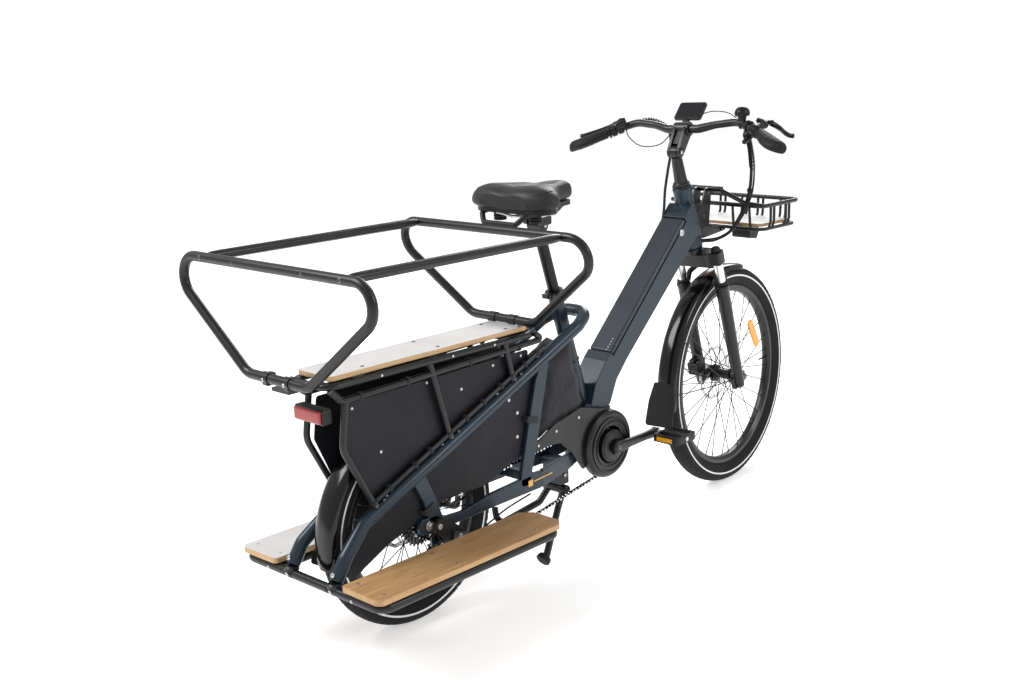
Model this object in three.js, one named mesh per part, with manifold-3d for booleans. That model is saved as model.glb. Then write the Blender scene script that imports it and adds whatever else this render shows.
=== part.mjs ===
// A longtail electric cargo bicycle, built as separate named pieces.
// Millimetres, +Z up, +Y towards the front wheel, +X to the rider's right (the chain side).
// The bicycle is laid out from the ground point under the rear axle, and the whole group
// is moved at the end so that the origin is the bottom centre of its box.
import * as THREE from "three";
import { mergeVertices } from "three/addons/utils/BufferGeometryUtils.js";
import Module from "manifold-3d";

const wasm = await Module();
wasm.setup();

// ---------------------------------------------------------------- driving dimensions
const GAP = 0.3; // between pieces that touch
const WHEELBASE = 1332;
const FRONT_R = 336; // 26 inch wheel with a 55 mm tyre
const REAR_R = 258; // 20 inch wheel with a 55 mm tyre
const TYRE_HALF_WIDTH = 27.5;
const TREAD_HALF_WIDTH = 14; // the flat band that stands on the ground
const WHEEL_SIDES = 24;
const SPOKES = 12;

const HEAD_TILT = 17; // degrees the head tube leans back from vertical
const STEER = 4.5; // degrees the bars and front wheel are turned to the left
const HEAD_TOP = new THREE.Vector3(0, 1101, 941);
const HEAD_LENGTH = 187;
const AXLE_FORWARD = 44; // front axle ahead of the steering axis
const AXLE_DOWN = 646.1; // front axle below the head tube's top, along the axis
const LEG_X = 66;
const LEG_FORWARD = 14;

const SEAT_TOP = new THREE.Vector3(0, 540, 727);
const SEAT_FOOT = new THREE.Vector3(0, 643, 403);
const SEAT_TUBE_R = 19.5;
const SEATPOST_R = 15.3;

const CRANK = { y: 678, z: 284.5 };
const CRANK_LENGTH = 165;
const CHAIN_X = 50; // middle of the chain
const STAY = { inner: 60, outer: 72 }; // chain stays and struts are flat boxes
const MOTOR = { y: 688, z: 302, r: 80 };

const DECK = { top: 675, thick: 12, half: 60, back: -256, front: 374 };
const RAIL = { x: 63, r: 16.5, slope: 0.427, y0: -211, z0: 311 }; // long side tubes
const HOOP = { r: 11.5, corner: 50, top: 921, foot: 107 };
const REAR_HOOP_Y = -348;
const FRONT_HOOP_Y = 302; // at its top
const FRONT_HOOP_LEAN = 0.2; // its foot stands further forward
const BOARD_TOP = 226;
const BASKET = { half: 164, back: 1270, front: 1470, rim: 876, floor: 807 };
const STAND = { y: 530, z: 190, footX: 118, footY: 341, footZ: 71 };

const ORIGIN_Y = 652; // from the rear axle to the middle of the length

// ---------------------------------------------------------------- finishes
const finish = (color, roughness, metalness) =>
  new THREE.MeshStandardMaterial({ color, roughness, metalness });
const FRAME_PAINT = () => finish(0x3c4854, 0.42, 0.55);
const BLACK_PAINT = () => finish(0x1b1d20, 0.45, 0.3);
const GLOSS_BLACK = () => finish(0x101114, 0.15, 0.0);
const BLACK_PLASTIC = () => finish(0x17181a, 0.6, 0.0);
const SHEET_BLACK = () => finish(0x24262b, 0.75, 0.0);
const RUBBER = () => finish(0x141414, 0.9, 0.0);
const BAMBOO = () => finish(0xc79a63, 0.55, 0.0);
const STEEL = () => finish(0x9a9ca0, 0.3, 0.9);
const RED_LENS = () => finish(0xa01518, 0.2, 0.0);
const VINYL = () => finish(0x1a1a1b, 0.5, 0.0);

// ---------------------------------------------------------------- solids
const rad = THREE.MathUtils.degToRad;
const at = (x, y, z) => new THREE.Vector3(x, y, z);

// A closed three.js geometry as a solid, with its faces turned outwards.
function solidOf(geometry) {
  const flat = geometry.index ? geometry.toNonIndexed() : geometry.clone();
  flat.deleteAttribute("normal");
  flat.deleteAttribute("uv");
  const merged = mergeVertices(flat, 1e-3);
  const vertProperties = merged.attributes.position.array;
  const triVerts = new Uint32Array(merged.index.array);
  const make = () => new wasm.Manifold(new wasm.Mesh({ numProp: 3, vertProperties, triVerts }));
  const solid = make();
  if (solid.volume() > 0) return solid;
  triVerts.reverse();
  return make();
}

const unite = (...solids) => solids.reduce((a, b) => a.add(b));
const cut = (solid, ...tools) => tools.reduce((a, b) => a.subtract(b), solid);

function meshOf(name, solid, material) {
  const mesh = solid.getMesh();
  const geometry = new THREE.BufferGeometry();
  const positions = new THREE.BufferAttribute(mesh.vertProperties, mesh.numProp);
  geometry.setAttribute("position", positions);
  geometry.setIndex(new THREE.BufferAttribute(mesh.triVerts, 1));
  geometry.computeVertexNormals();
  const out = new THREE.Mesh(geometry, material);
  out.name = name;
  return out;
}

// The same solid moved, turned, leant or mirrored by a matrix.
function moved(solid, matrix) {
  const mesh = solid.getMesh();
  const geometry = new THREE.BufferGeometry();
  const positions = new THREE.BufferAttribute(mesh.vertProperties.slice(), mesh.numProp);
  geometry.setAttribute("position", positions);
  geometry.setIndex(new THREE.BufferAttribute(mesh.triVerts.slice(), 1));
  return solidOf(geometry.applyMatrix4(matrix));
}

const shifted = (solid, x, y, z) => moved(solid, new THREE.Matrix4().makeTranslation(x, y, z));
const mirrored = (solid) => moved(solid, new THREE.Matrix4().makeScale(-1, 1, 1));

function box(x0, x1, y0, y1, z0, z1) {
  const geometry = new THREE.BoxGeometry(x1 - x0, y1 - y0, z1 - z0);
  return solidOf(geometry.translate((x0 + x1) / 2, (y0 + y1) / 2, (z0 + z1) / 2));
}

// A round bar from a to b, which can taper.
function rod(a, b, r, sides = 8, endR = r) {
  const along = new THREE.Vector3().subVectors(b, a);
  const geometry = new THREE.CylinderGeometry(endR, r, along.length(), sides);
  const turn = new THREE.Quaternion().setFromUnitVectors(at(0, 1, 0), along.clone().normalize());
  geometry.applyQuaternion(turn);
  const middle = new THREE.Vector3().addVectors(a, b).multiplyScalar(0.5);
  return solidOf(geometry.translate(middle.x, middle.y, middle.z));
}

// A bar across the bicycle, from x0 to x1 at a place on its side view.
const crossBar = (x0, x1, y, z, r, sides = 10) => rod(at(x0, y, z), at(x1, y, z), r, sides);

// A path of straight runs and round bends, with stations only where it bends.
class BentPath extends THREE.Curve {
  constructor(corners, bend, steps = 3) {
    super();
    const last = corners.length - 1;
    this.stations = [];
    corners.forEach((corner, i) => {
      if (i === 0 || i === last) return this.stations.push(corner.clone());
      const before = new THREE.Vector3().subVectors(corners[i - 1], corner);
      const after = new THREE.Vector3().subVectors(corners[i + 1], corner);
      const half = before.angleTo(after) / 2;
      const room = 0.48 * Math.min(before.length(), after.length());
      const reach = Math.min(bend / Math.tan(half), room);
      const from = before.setLength(reach);
      const to = after.setLength(reach);
      const centre = new THREE.Vector3().addVectors(from, to);
      centre.setLength(reach / Math.cos(half));
      const sweep = Math.PI - 2 * half;
      from.sub(centre);
      to.sub(centre);
      for (let k = 0; k <= steps; k++) {
        const spot = from.clone().multiplyScalar(Math.sin(sweep * (1 - k / steps)));
        spot.addScaledVector(to, Math.sin((sweep * k) / steps));
        spot.divideScalar(Math.sin(sweep)).add(centre).add(corner);
        this.stations.push(spot);
      }
    });
  }
  getPoint(t) {
    const n = this.stations.length - 1;
    const i = Math.min(Math.floor(t * n + 1e-9), n - 1);
    return this.stations[i].clone().lerp(this.stations[i + 1], t * n - i);
  }
  getPointAt(u) {
    return this.getPoint(u);
  }
  getTangent(t) {
    const n = this.stations.length - 1;
    const i = Math.round(t * n);
    const back = this.stations[Math.max(i - 1, 0)];
    const here = this.stations[i];
    const ahead = this.stations[Math.min(i + 1, n)];
    const incoming = new THREE.Vector3().subVectors(here, back).normalize();
    const outgoing = new THREE.Vector3().subVectors(ahead, here).normalize();
    return incoming.add(outgoing).normalize();
  }
  getTangentAt(u) {
    return this.getTangent(u);
  }
}

function roundSection(r, sides) {
  const shape = new THREE.Shape();
  for (let i = 0; i < sides; i++) {
    const a = (2 * Math.PI * (i + 0.5)) / sides;
    if (i) shape.lineTo(r * Math.cos(a), r * Math.sin(a));
    else shape.moveTo(r * Math.cos(a), r * Math.sin(a));
  }
  return shape;
}

// A round tube along corners, bent with one radius.
function tube(corners, r, bend, sides = 6, steps = 2) {
  const path = new BentPath(corners, bend, steps);
  const settings = { steps: path.stations.length - 1, extrudePath: path, bevelEnabled: false };
  return solidOf(new THREE.ExtrudeGeometry(roundSection(r, sides), settings));
}

// A plate whose outline is in the side view, [y, z] points, from x0 to x1.
function sidePlate(outline, x0, x1, chamfer = 0) {
  const shape = new THREE.Shape(outline.map(([y, z]) => new THREE.Vector2(y, z)));
  const geometry = new THREE.ExtrudeGeometry(shape, {
    depth: x1 - x0 - 2 * chamfer,
    bevelEnabled: chamfer > 0,
    bevelThickness: chamfer,
    bevelSize: chamfer,
    bevelOffset: -chamfer,
    bevelSegments: 1,
  });
  const toSide = new THREE.Matrix4().makeBasis(at(0, 1, 0), at(0, 0, 1), at(1, 0, 0));
  return solidOf(geometry.translate(0, 0, chamfer).applyMatrix4(toSide).translate(x0, 0, 0));
}

// A plate whose outline is in the top view, [x, y] points, from z0 to z1.
function flatPlate(outline, z0, z1, chamfer = 0) {
  const shape = new THREE.Shape(outline.map(([x, y]) => new THREE.Vector2(x, y)));
  const geometry = new THREE.ExtrudeGeometry(shape, {
    depth: z1 - z0 - 2 * chamfer,
    bevelEnabled: chamfer > 0,
    bevelThickness: chamfer,
    bevelSize: chamfer,
    bevelOffset: -chamfer,
    bevelSegments: 1,
  });
  return solidOf(geometry.translate(0, 0, z0 + chamfer));
}

// A solid of revolution about the X axis. The closed profile is [radius, x] points.
function turned(profile, y, z, sides = WHEEL_SIDES) {
  const points = [...profile, profile[0]].map(([r, x]) => new THREE.Vector2(r, x));
  const geometry = new THREE.LatheGeometry(points, sides);
  geometry.rotateZ(-Math.PI / 2).rotateX(Math.PI / sides);
  return solidOf(geometry.translate(0, y, z));
}

// The piece of a turned solid between two angles, from the +Y direction towards +Z.
function sector(solid, y, z, from, to, reach) {
  const corner = (a) => [y + reach * Math.cos(rad(a)), z + reach * Math.sin(rad(a))];
  const outline = [[y, z]];
  const pieces = Math.ceil((to - from) / 40);
  for (let i = 0; i <= pieces; i++) outline.push(corner(from + ((to - from) * i) / pieces));
  return solid.intersect(sidePlate(outline, -60, 60));
}

// ---------------------------------------------------------------- frame
const railZ = (y) => RAIL.z0 + RAIL.slope * (y - RAIL.y0);

// The down tube's top face, as a slanted frame: s runs up along it and n stands off it.
const TOP_EDGE = { low: [700, 512], high: [1105, 905] };
const edge = new THREE.Vector2(
  TOP_EDGE.high[0] - TOP_EDGE.low[0],
  TOP_EDGE.high[1] - TOP_EDGE.low[1],
).normalize();
const onTube = (s, n) => [
  TOP_EDGE.low[0] + edge.x * s - edge.y * n,
  TOP_EDGE.low[1] + edge.y * s + edge.x * n,
];
const BATTERY = { from: 30, to: 499, cover: 16, packFrom: 52, packTo: 478, depth: 58, half: 28 };

function tubeRegion(s0, s1, n0, n1, half) {
  return sidePlate([onTube(s0, n0), onTube(s1, n0), onTube(s1, n1), onTube(s0, n1)], -half, half);
}

function downTubeOutside() {
  const belly = [[1150, 790], [1122, 800], [792, 500], [747, 452], [716, 386]];
  const back = [[630, 386], [655, 455]];
  return sidePlate([TOP_EDGE.high, ...belly, ...back, TOP_EDGE.low], -40, 40, 7);
}

const steeringPoint = (forward, up) => {
  const p = at(0, forward, up).applyAxisAngle(at(1, 0, 0), rad(HEAD_TILT));
  return p.add(HEAD_TOP);
};

function frontFrame() {
  const head = rod(steeringPoint(0, 0), steeringPoint(0, -HEAD_LENGTH), 28, 16);
  const lowerCup = rod(steeringPoint(0, -HEAD_LENGTH + 12), steeringPoint(0, -HEAD_LENGTH), 30, 16);
  const bore = rod(steeringPoint(0, 10), steeringPoint(0, -HEAD_LENGTH - 10), 17, 12);
  const seat = rod(SEAT_TOP, SEAT_FOOT, SEAT_TUBE_R, 12);
  const seatAxis = new THREE.Vector3().subVectors(SEAT_FOOT, SEAT_TOP).normalize();
  const mouth = SEAT_TOP.clone().addScaledVector(seatAxis, -5);
  const boreEnd = SEAT_TOP.clone().addScaledVector(seatAxis, 270);
  const seatBore = rod(mouth, boreEnd, SEATPOST_R + 0.8, 12);
  const { from, to, cover, packFrom, packTo, depth, half } = BATTERY;
  const coverBay = tubeRegion(from - GAP, to + GAP, -cover - GAP, 30, 60);
  const packBay = tubeRegion(packFrom - 2, packTo + 2, -depth - 2, 30, half + 2);
  const bays = coverBay.add(packBay);
  return cut(unite(cut(downTubeOutside(), bays), head, lowerCup, seat), bore, seatBore);
}

function battery() {
  const { from, to, cover, packFrom, packTo, depth, half } = BATTERY;
  const lid = downTubeOutside().intersect(tubeRegion(from, to, -cover, 30, 60));
  return lid.add(tubeRegion(packFrom, packTo, -depth, -cover + 4, half));
}

function motorHousing() {
  const drum = crossBar(-60, 44, MOTOR.y, MOTOR.z, MOTOR.r, 16);
  const flange = box(-34, 34, 648, 712, 330, 385.4);
  return cut(drum.add(flange), crossBar(-70, 60, CRANK.y, CRANK.z, 12));
}

// The two long tubes from the footboards up to a bend around the seat tube.
function sideRails() {
  const half = (side) => [
    at(side * 78, -291, 218),
    at(side * 77, -262, 262),
    at(side * RAIL.x, -190, railZ(-190)),
    at(side * RAIL.x, 560, railZ(560)),
    at(side * 44, 618, 664),
  ];
  const corners = [...half(1), ...half(-1).reverse()];
  return tube(corners, RAIL.r, 46, 8, 2);
}

// Chain stays, upright struts and dropouts of both sides, welded to two bridges. The front
// end of each stay runs inwards, to pass between the chainring and the wheel.
function stays() {
  const chainStay = [
    [402, 289], [357, 287], [213, 278], [108, 262], [47, 266], [20, 278], [-26, 276], [-30, 244],
    [20, 234], [62, 238], [211, 241], [402, 243],
  ];
  const frontEnd = [[400, 243], [400, 289], [520, 294], [640, 318], [640, 276], [520, 250]];
  const frontStrut = [[352, 262], [361, 295], [389, 389], [423, 525], [440, 588], [398, 570],
    [383, 533], [348, 405], [323, 305], [316, 262]];
  const rearStrut = [[47, 262], [21, 330], [-6, 397], [-46, 380], [-14, 321], [2, 262]];
  const inwards = new THREE.Matrix4();
  inwards.set(1, -0.17, 0, 0, 0, 1, 0, 400, 0, 0, 1, 0, 0, 0, 0, 1);
  const oneSide = () => {
    const plate = (outline) => sidePlate(outline, STAY.inner, STAY.outer, 2);
    const front = sidePlate(frontEnd.map(([y, z]) => [y - 400, z]), STAY.inner, STAY.outer, 0);
    return unite(plate(chainStay), plate(frontStrut), plate(rearStrut), moved(front, inwards));
  };
  const right = oneSide();
  const both = right.add(mirrored(right));
  const yoke = box(-66, 66, 380, 400, 252, 278);
  const standMount = unite(box(-46, 46, 510, 550, 254, 276), box(-32, 32, 514, 546, 206, 276));
  const motorRoom = crossBar(-61, 45, MOTOR.y, MOTOR.z, MOTOR.r + 0.5, 16);
  const axleRoom = crossBar(-90, 90, 0, REAR_R, 6.3);
  return cut(unite(both, yoke, standMount), axleRoom, motorRoom, railClearance());
}

// ---------------------------------------------------------------- rack, deck and cage
function rackFrame() {
  const rimZ = 652;
  const r = 8;
  const x = 64;
  const side = (s) => {
    const rim = tube([at(0, -268, rimZ), at(s * x, -268, rimZ), at(s * x, 388, rimZ),
      at(0, 388, rimZ)], r, 30);
    const lower = tube([at(s * x, -268, rimZ - 4), at(s * x, -232, 615), at(s * x, 420, 632),
      at(s * x, 386, rimZ)], r, 22);
    const foot = (y) => railZ(y) + RAIL.r + 0.6;
    const rearLeg = tube([at(s * x, -222, 617), at(s * x, -238, 507), at(s * x, -178, 393),
      at(s * x, -158, foot(-158) + 4)], r, 50);
    const middleLeg = rod(at(s * x, 30, 648), at(s * x, 84, foot(84) + 8), r, 8);
    const frontLeg = rod(at(s * x, 281, 648), at(s * x, 306, foot(306) + 8), r, 8);
    return unite(rim, lower, rearLeg, middleLeg, frontLeg);
  };
  const beams = [-150, 80, 310].map((y) => box(-62, 62, y - 11, y + 11, 648, 661.5));
  const rearPlate = box(-30, 30, -345, -262, 650, 658);
  const frontPlate = box(-46, 46, 330, 392, 652, 661.5);
  const trim = cut(unite(side(1), side(-1), ...beams, rearPlate, frontPlate), railClearance());
  return trim;
}

// What the side tubes take up, with the usual gap round them.
function railClearance() {
  const run = (s) => rod(at(s * RAIL.x, -230, railZ(-230)), at(s * RAIL.x, 560, railZ(560)),
    RAIL.r + 1.1, 10);
  return run(1).add(run(-1));
}

function roundedRectangle(half, back, front, corner, steps = 3) {
  const outline = [];
  const quarter = (cx, cy, from) => {
    for (let i = 0; i <= steps; i++) {
      const a = rad(from + (90 * i) / steps);
      outline.push([cx + corner * Math.cos(a), cy + corner * Math.sin(a)]);
    }
  };
  quarter(half - corner, front - corner, 0);
  quarter(-half + corner, front - corner, 90);
  quarter(-half + corner, back + corner, 180);
  quarter(half - corner, back + corner, 270);
  return outline;
}

function deckBoard() {
  const outline = roundedRectangle(DECK.half, DECK.back, DECK.front, 14);
  return flatPlate(outline, DECK.top - DECK.thick, DECK.top, 2);
}

// One cage hoop: a wide bar on top, round shoulders, and sides that slope in to its foot.
// A leaning hoop stands further forward at its foot.
function hoop(y, bottom, lean) {
  const slope = 1.3;
  const tip = HOOP.foot + slope * (HOOP.top - bottom);
  const corner = (x, z) => at(x, y + lean * (HOOP.top - z), z);
  const half = (s) => tube([corner(-s, bottom), corner(s * HOOP.foot, bottom),
    corner(s * tip, HOOP.top), corner(-s, HOOP.top)], HOOP.r, HOOP.corner, 6, 4);
  return half(1).add(half(-1));
}

function cageRail() {
  const clear = HOOP.r + 0.5;
  return rod(at(243, REAR_HOOP_Y + clear, HOOP.top), at(243, FRONT_HOOP_Y - clear, HOOP.top), 11, 8);
}

// ---------------------------------------------------------------- panels and guards
function rackPanel() {
  const outline = [[-212, 604], [-226, 506], [-160, railZ(-160) + 24], [372, railZ(372) + 24],
    [380, 612]];
  return sidePlate(outline, 50, 53);
}

function wheelSkirt() {
  const under = (y) => railZ(y) - RAIL.r - 2;
  const outline = [[-258, 214], [-240, 248], [-190, under(-190) - 4], [418, under(418)], [372, 400],
    [366, 352], [308, 336], [200, 300], [100, 284], [45, 268], [-30, 238], [-118, 236],
    [-228, 196]];
  const axleRoom = crossBar(50, 60, 0, REAR_R, 17);
  return cut(sidePlate(outline, 57, 59), axleRoom);
}

function frameBag() {
  const outline = [[462, 566], [520, 592], [554, 604], [606, 420], [560, 392], [436, 366],
    [400, 352], [402, 372]];
  return sidePlate(outline, -47, 47, 8);
}

function mudguard(y, z, tyreR, from, to) {
  const r = tyreR + 8;
  const profile = [[r - 14, -33], [r - 2, -30], [r + 3, -13], [r + 3, 13], [r - 2, 30],
    [r - 14, 33], [r - 14, 30], [r - 4, 27.5], [r, 12], [r, -12], [r - 4, -27.5], [r - 14, -30]];
  return sector(turned(profile, y, z, 28), y, z, from, to, 2 * r);
}

function frontMudguard() {
  const guard = mudguard(WHEELBASE, FRONT_R, FRONT_R, 76, 187);
  const flap = sidePlate([[994, 384], [985, 384], [950, 262], [957, 262]], -44, 44);
  return guard.add(flap);
}

function rearLight() {
  return cut(box(-50, 50, -282, -244, 566, 602), box(-44, 44, -252, -240, 560, 610));
}

// ---------------------------------------------------------------- footboards
function footboardFrame() {
  const z = 199;
  const r = 11;
  const rearY = -299;
  const loop = (s) => tube([at(s * 60, rearY, z), at(s * 240, rearY, z), at(s * 236, 268, z),
    at(s * 136, 268, z), at(s * 128, rearY, z)], r, 26);
  const strut = (s) => tube([at(s * 66, 226, 233), at(s * 70, 226, 206), at(s * 140, 226, z)], 8, 24);
  const rear = crossBar(-70, 70, rearY, z, r, 8);
  const one = (s) => loop(s).add(strut(s));
  return unite(one(1), one(-1), rear);
}

function footboard() {
  const outline = [[120, -311], [236, -313], [250, -300], [248, 262], [226, 284], [144, 284],
    [116, 254]];
  return flatPlate(outline, BOARD_TOP - 14, BOARD_TOP, 2);
}

// ---------------------------------------------------------------- front basket and light
function basketFrame() {
  const { half, back, front, rim, floor } = BASKET;
  const loop = (w, y0, y1, z, r) => {
    const side = (s) => tube([at(-s, y0, z), at(s * w, y0, z), at(s * w, y1, z), at(-s, y1, z)],
      r, 28);
    return side(1).add(side(-1));
  };
  const top = loop(half, back, front, rim, 6);
  const bottom = loop(half - 5, back + 8, front - 12, floor, 5);
  const postAt = [[half, back + 60], [half, front - 60], [half - 60, front], [0, front]];
  const posts = postAt.flatMap(([x, y]) => {
    const lowX = x - (x === half ? 5 : 0);
    const lowY = y - (x === half ? 0 : 12);
    const post = (s) => rod(at(s * lowX, lowY, floor), at(s * x, y, rim), 4, 4);
    return x ? [post(1), post(-1)] : [post(1)];
  });
  const bars = [-70, 70].map((x) => box(x - 9, x + 9, back + 8, front - 12, floor - 4, floor + 4));
  const ear = (s) => {
    const outline = [[1150, 862], [1276, 906], [1284, 872], [1290, 803], [1176, 786]];
    return s > 0 ? sidePlate(outline, 16, 21) : sidePlate(outline, -21, -16);
  };
  const backRod = crossBar(-60, 60, back, rim, 7, 6);
  const hump = tube([at(-70, back, rim), at(-40, back, rim + 30), at(40, back, rim + 30),
    at(70, back, rim)], 6, 20, 6);
  const ears = unite(ear(1), ear(-1), backRod, box(-21, 21, 1262, 1290, 803, 812));
  const all = unite(top, bottom, ...posts, ...bars, hump, ears);
  return cut(all, rod(steeringPoint(0, 20), steeringPoint(0, -HEAD_LENGTH - 20), 30 + GAP, 16));
}

function basketBoard() {
  const outline = roundedRectangle(BASKET.half - 20, BASKET.back + 22, BASKET.front - 20, 16);
  return flatPlate(outline, BASKET.floor + 4.4, BASKET.floor + 14);
}

function frontLight() {
  const z = BASKET.floor - 5.6; // just under the basket's floor bars
  const body = sidePlate([[1404, z - 46], [1452, z - 50], [1462, z - 30], [1456, z - 8],
    [1410, z - 8]], -32, 32, 4);
  return body.add(box(-8, 8, 1418, 1444, z - 12, z));
}

// ---------------------------------------------------------------- wheels
function tyre(radius, y, z) {
  const r = radius / Math.cos(Math.PI / WHEEL_SIDES);
  const w = TYRE_HALF_WIDTH;
  const bead = r - 55;
  return turned([[r, -TREAD_HALF_WIDTH], [r - 8, -22], [r - 24, -w], [r - 42, -22],
    [bead, -14], [bead, 14], [r - 42, 22], [r - 24, w], [r - 8, 22],
    [r, TREAD_HALF_WIDTH]], y, z);
}

function wheel(radius, y, z, hub) {
  const bead = radius / Math.cos(Math.PI / WHEEL_SIDES) - 55;
  const outer = bead - GAP;
  const rim = turned([[outer, -16], [outer - 14, -14], [outer - 20, -5], [outer - 20, 5],
    [outer - 14, 14], [outer, 16]], y, z);
  const spool = turned([[0.01, -hub.axle], [5, -hub.axle], [5, -hub.shell - 3],
    [24, -hub.shell], [24, -hub.shell + 3], [14, -hub.shell + 8],
    [14, hub.shell - 8], [24, hub.shell - 3], [24, hub.shell],
    [hub.driveR, hub.shell + 1], [hub.driveR, hub.drive], [5, hub.drive + 1], [5, hub.axle],
    [0.01, hub.axle]], y, z, 10);
  const spokes = [];
  for (let i = 0; i < SPOKES; i++) {
    const s = i % 2 ? 1 : -1;
    const a = (2 * Math.PI * i) / SPOKES;
    const lean = ((i % 4 < 2 ? 1 : -1) * 5 * Math.PI) / SPOKES;
    const from = at(s * (hub.shell - 1.5), y + 20 * Math.cos(a + lean), z + 20 * Math.sin(a + lean));
    const reach = outer - 17;
    const to = at(s * 3, y + reach * Math.cos(a), z + reach * Math.sin(a));
    spokes.push(rod(from, to, 1.3, 3));
  }
  const disc = turned([[22, hub.rotor - 1], [hub.rotorR, hub.rotor - 1], [hub.rotorR, hub.rotor + 1],
    [22, hub.rotor + 1]], y, z, 20);
  const windows = [];
  for (let i = 0; i < 5; i++) {
    const a = (2 * Math.PI * (i + 0.5)) / 5;
    const r = 0.62 * hub.rotorR;
    windows.push(crossBar(hub.rotor - 3, hub.rotor + 3, y + r * Math.cos(a), z + r * Math.sin(a),
      0.24 * hub.rotorR, 5));
  }
  const carrier = turned([[4, hub.rotor - 1], [30, hub.rotor - 1], [30, hub.rotor + 1],
    [4, -hub.shell]], y, z, 10);
  return unite(rim, spool, ...spokes, cut(disc, ...windows), carrier);
}

// ---------------------------------------------------------------- drive
function cassette() {
  const steps = [[55, 31, 38], [43, 38, 45.8], [29, 45.8, 54.4]];
  const outline = steps.flatMap(([r, x0, x1]) => [[r, x0], [r, x1]]);
  return turned([[15.6, 31], ...outline, [15.6, 54.4]], 0, REAR_R, 16);
}

// The outline of a chain round circles {y, z, r, turn}, offset outwards by off.
function chainOutline(circles, off) {
  const signed = circles.map((c) => c.turn * c.r + off);
  const outline = [];
  const heading = (i) => {
    const a = circles[i];
    const b = circles[(i + 1) % circles.length];
    const dy = b.y - a.y;
    const dz = b.z - a.z;
    const difference = signed[i] - signed[(i + 1) % circles.length];
    return Math.atan2(dz, dy) + Math.asin(difference / Math.hypot(dy, dz));
  };
  circles.forEach((c, i) => {
    const before = heading((i + circles.length - 1) % circles.length);
    let after = heading(i);
    while (c.turn > 0 && after < before) after += 2 * Math.PI;
    while (c.turn < 0 && after > before) after -= 2 * Math.PI;
    const pieces = Math.max(2, Math.ceil(Math.abs(after - before) / 0.45));
    for (let k = 0; k <= pieces; k++) {
      const a = before + ((after - before) * k) / pieces;
      outline.push([c.y + signed[i] * Math.sin(a), c.z - signed[i] * Math.cos(a)]);
    }
  });
  return outline;
}

const GUIDE_WHEEL = { y: 30, z: 188, r: 18 };
const TENSION_WHEEL = { y: 44, z: 131, r: 18 };

function chain() {
  const circles = [
    { ...CRANK, r: 77, turn: 1 },
    { y: 0, z: REAR_R, r: 34, turn: 1 },
    { ...GUIDE_WHEEL, turn: -1 },
    { ...TENSION_WHEEL, turn: 1 },
  ];
  const outside = sidePlate(chainOutline(circles, 4), CHAIN_X - 3.5, CHAIN_X + 3.5);
  const inside = sidePlate(chainOutline(circles, -4), CHAIN_X - 9, CHAIN_X + 9);
  return cut(outside, inside);
}

function derailleurCage() {
  const cageX = [CHAIN_X - 8, CHAIN_X - 5.5, CHAIN_X + 5.5, CHAIN_X + 8];
  const link = (x0, x1) => {
    const outline = [[GUIDE_WHEEL.y - 11, GUIDE_WHEEL.z + 9], [GUIDE_WHEEL.y + 11, GUIDE_WHEEL.z + 9],
      [TENSION_WHEEL.y + 10, TENSION_WHEEL.z - 8], [TENSION_WHEEL.y - 9, TENSION_WHEEL.z - 10]];
    return sidePlate(outline, x0, x1);
  };
  const wheelAt = ({ y, z }) => crossBar(CHAIN_X - 3, CHAIN_X + 3, y, z, 13, 12)
    .add(crossBar(cageX[0], cageX[3], y, z, 4, 8));
  const sides = link(cageX[0], cageX[1]).add(link(cageX[2], cageX[3]));
  return unite(sides, wheelAt(GUIDE_WHEEL), wheelAt(TENSION_WHEEL));
}

function derailleurBody() {
  const knuckle = sidePlate([[10, 172], [46, 172], [58, 198], [52, 222], [18, 222]], 60, 84, 3);
  const hanger = sidePlate([[6, 200], [34, 200], [30, 233.5], [4, 233.5]], 64, 70);
  return cut(knuckle.add(hanger), box(50, 80, -40, 140, 233.6, 260));
}

function chainCover() {
  const disc = crossBar(CHAIN_X + 4.4, 76, 672, 290, 95, 20);
  const arm = sidePlate([[700, 394], [640, 404], [571, 419], [467, 395], [382, 356], [382, 334],
    [430, 342], [486, 338], [530, 300], [575, 235], [640, 240]], CHAIN_X + 4.4, 59.4);
  return cut(disc.add(arm), crossBar(50, 90, CRANK.y, CRANK.z, 52, 16));
}

function crankset() {
  const axle = crossBar(-98, 98, CRANK.y, CRANK.z, 9, 8);
  const chainring = crossBar(CHAIN_X - 1.8, CHAIN_X + 1.8, CRANK.y, CRANK.z, 70.5, 20);
  const spider = crossBar(64, 86, CRANK.y, CRANK.z, 43, 14);
  const arm = (s) => {
    const root = at(s * 95, CRANK.y, CRANK.z);
    const tip = at(s * 98, CRANK.y + s * CRANK_LENGTH, CRANK.z + s * 3);
    const boss = crossBar(s * 89, s * 107, tip.y, tip.z, 13, 10);
    return cut(rod(root, tip, 13, 8, 9).add(boss), box(107, 140, 0, 1000, 0, 400),
      box(-140, -107, 0, 1000, 0, 400));
  };
  return unite(axle, chainring, spider, arm(1), arm(-1));
}

function pedal(s) {
  const y = CRANK.y + s * CRANK_LENGTH;
  const z = CRANK.z + s * 3;
  const x = (d) => s * d;
  const axle = crossBar(x(107.4), x(206), y, z, 6, 8);
  const cage = flatPlate(roundedRectangle(44, y - 46, y + 46, 10, 1), z - 11, z + 11, 3);
  const windows = [-1, 1].map((side) => {
    const [y0, y1] = side > 0 ? [y + 12, y + 34] : [y - 34, y - 12];
    return box(-30, 30, y0, y1, z - 20, z + 20);
  });
  const platform = shifted(cut(cage, ...windows), x(164), 0, 0);
  return platform.add(axle);
}

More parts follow.
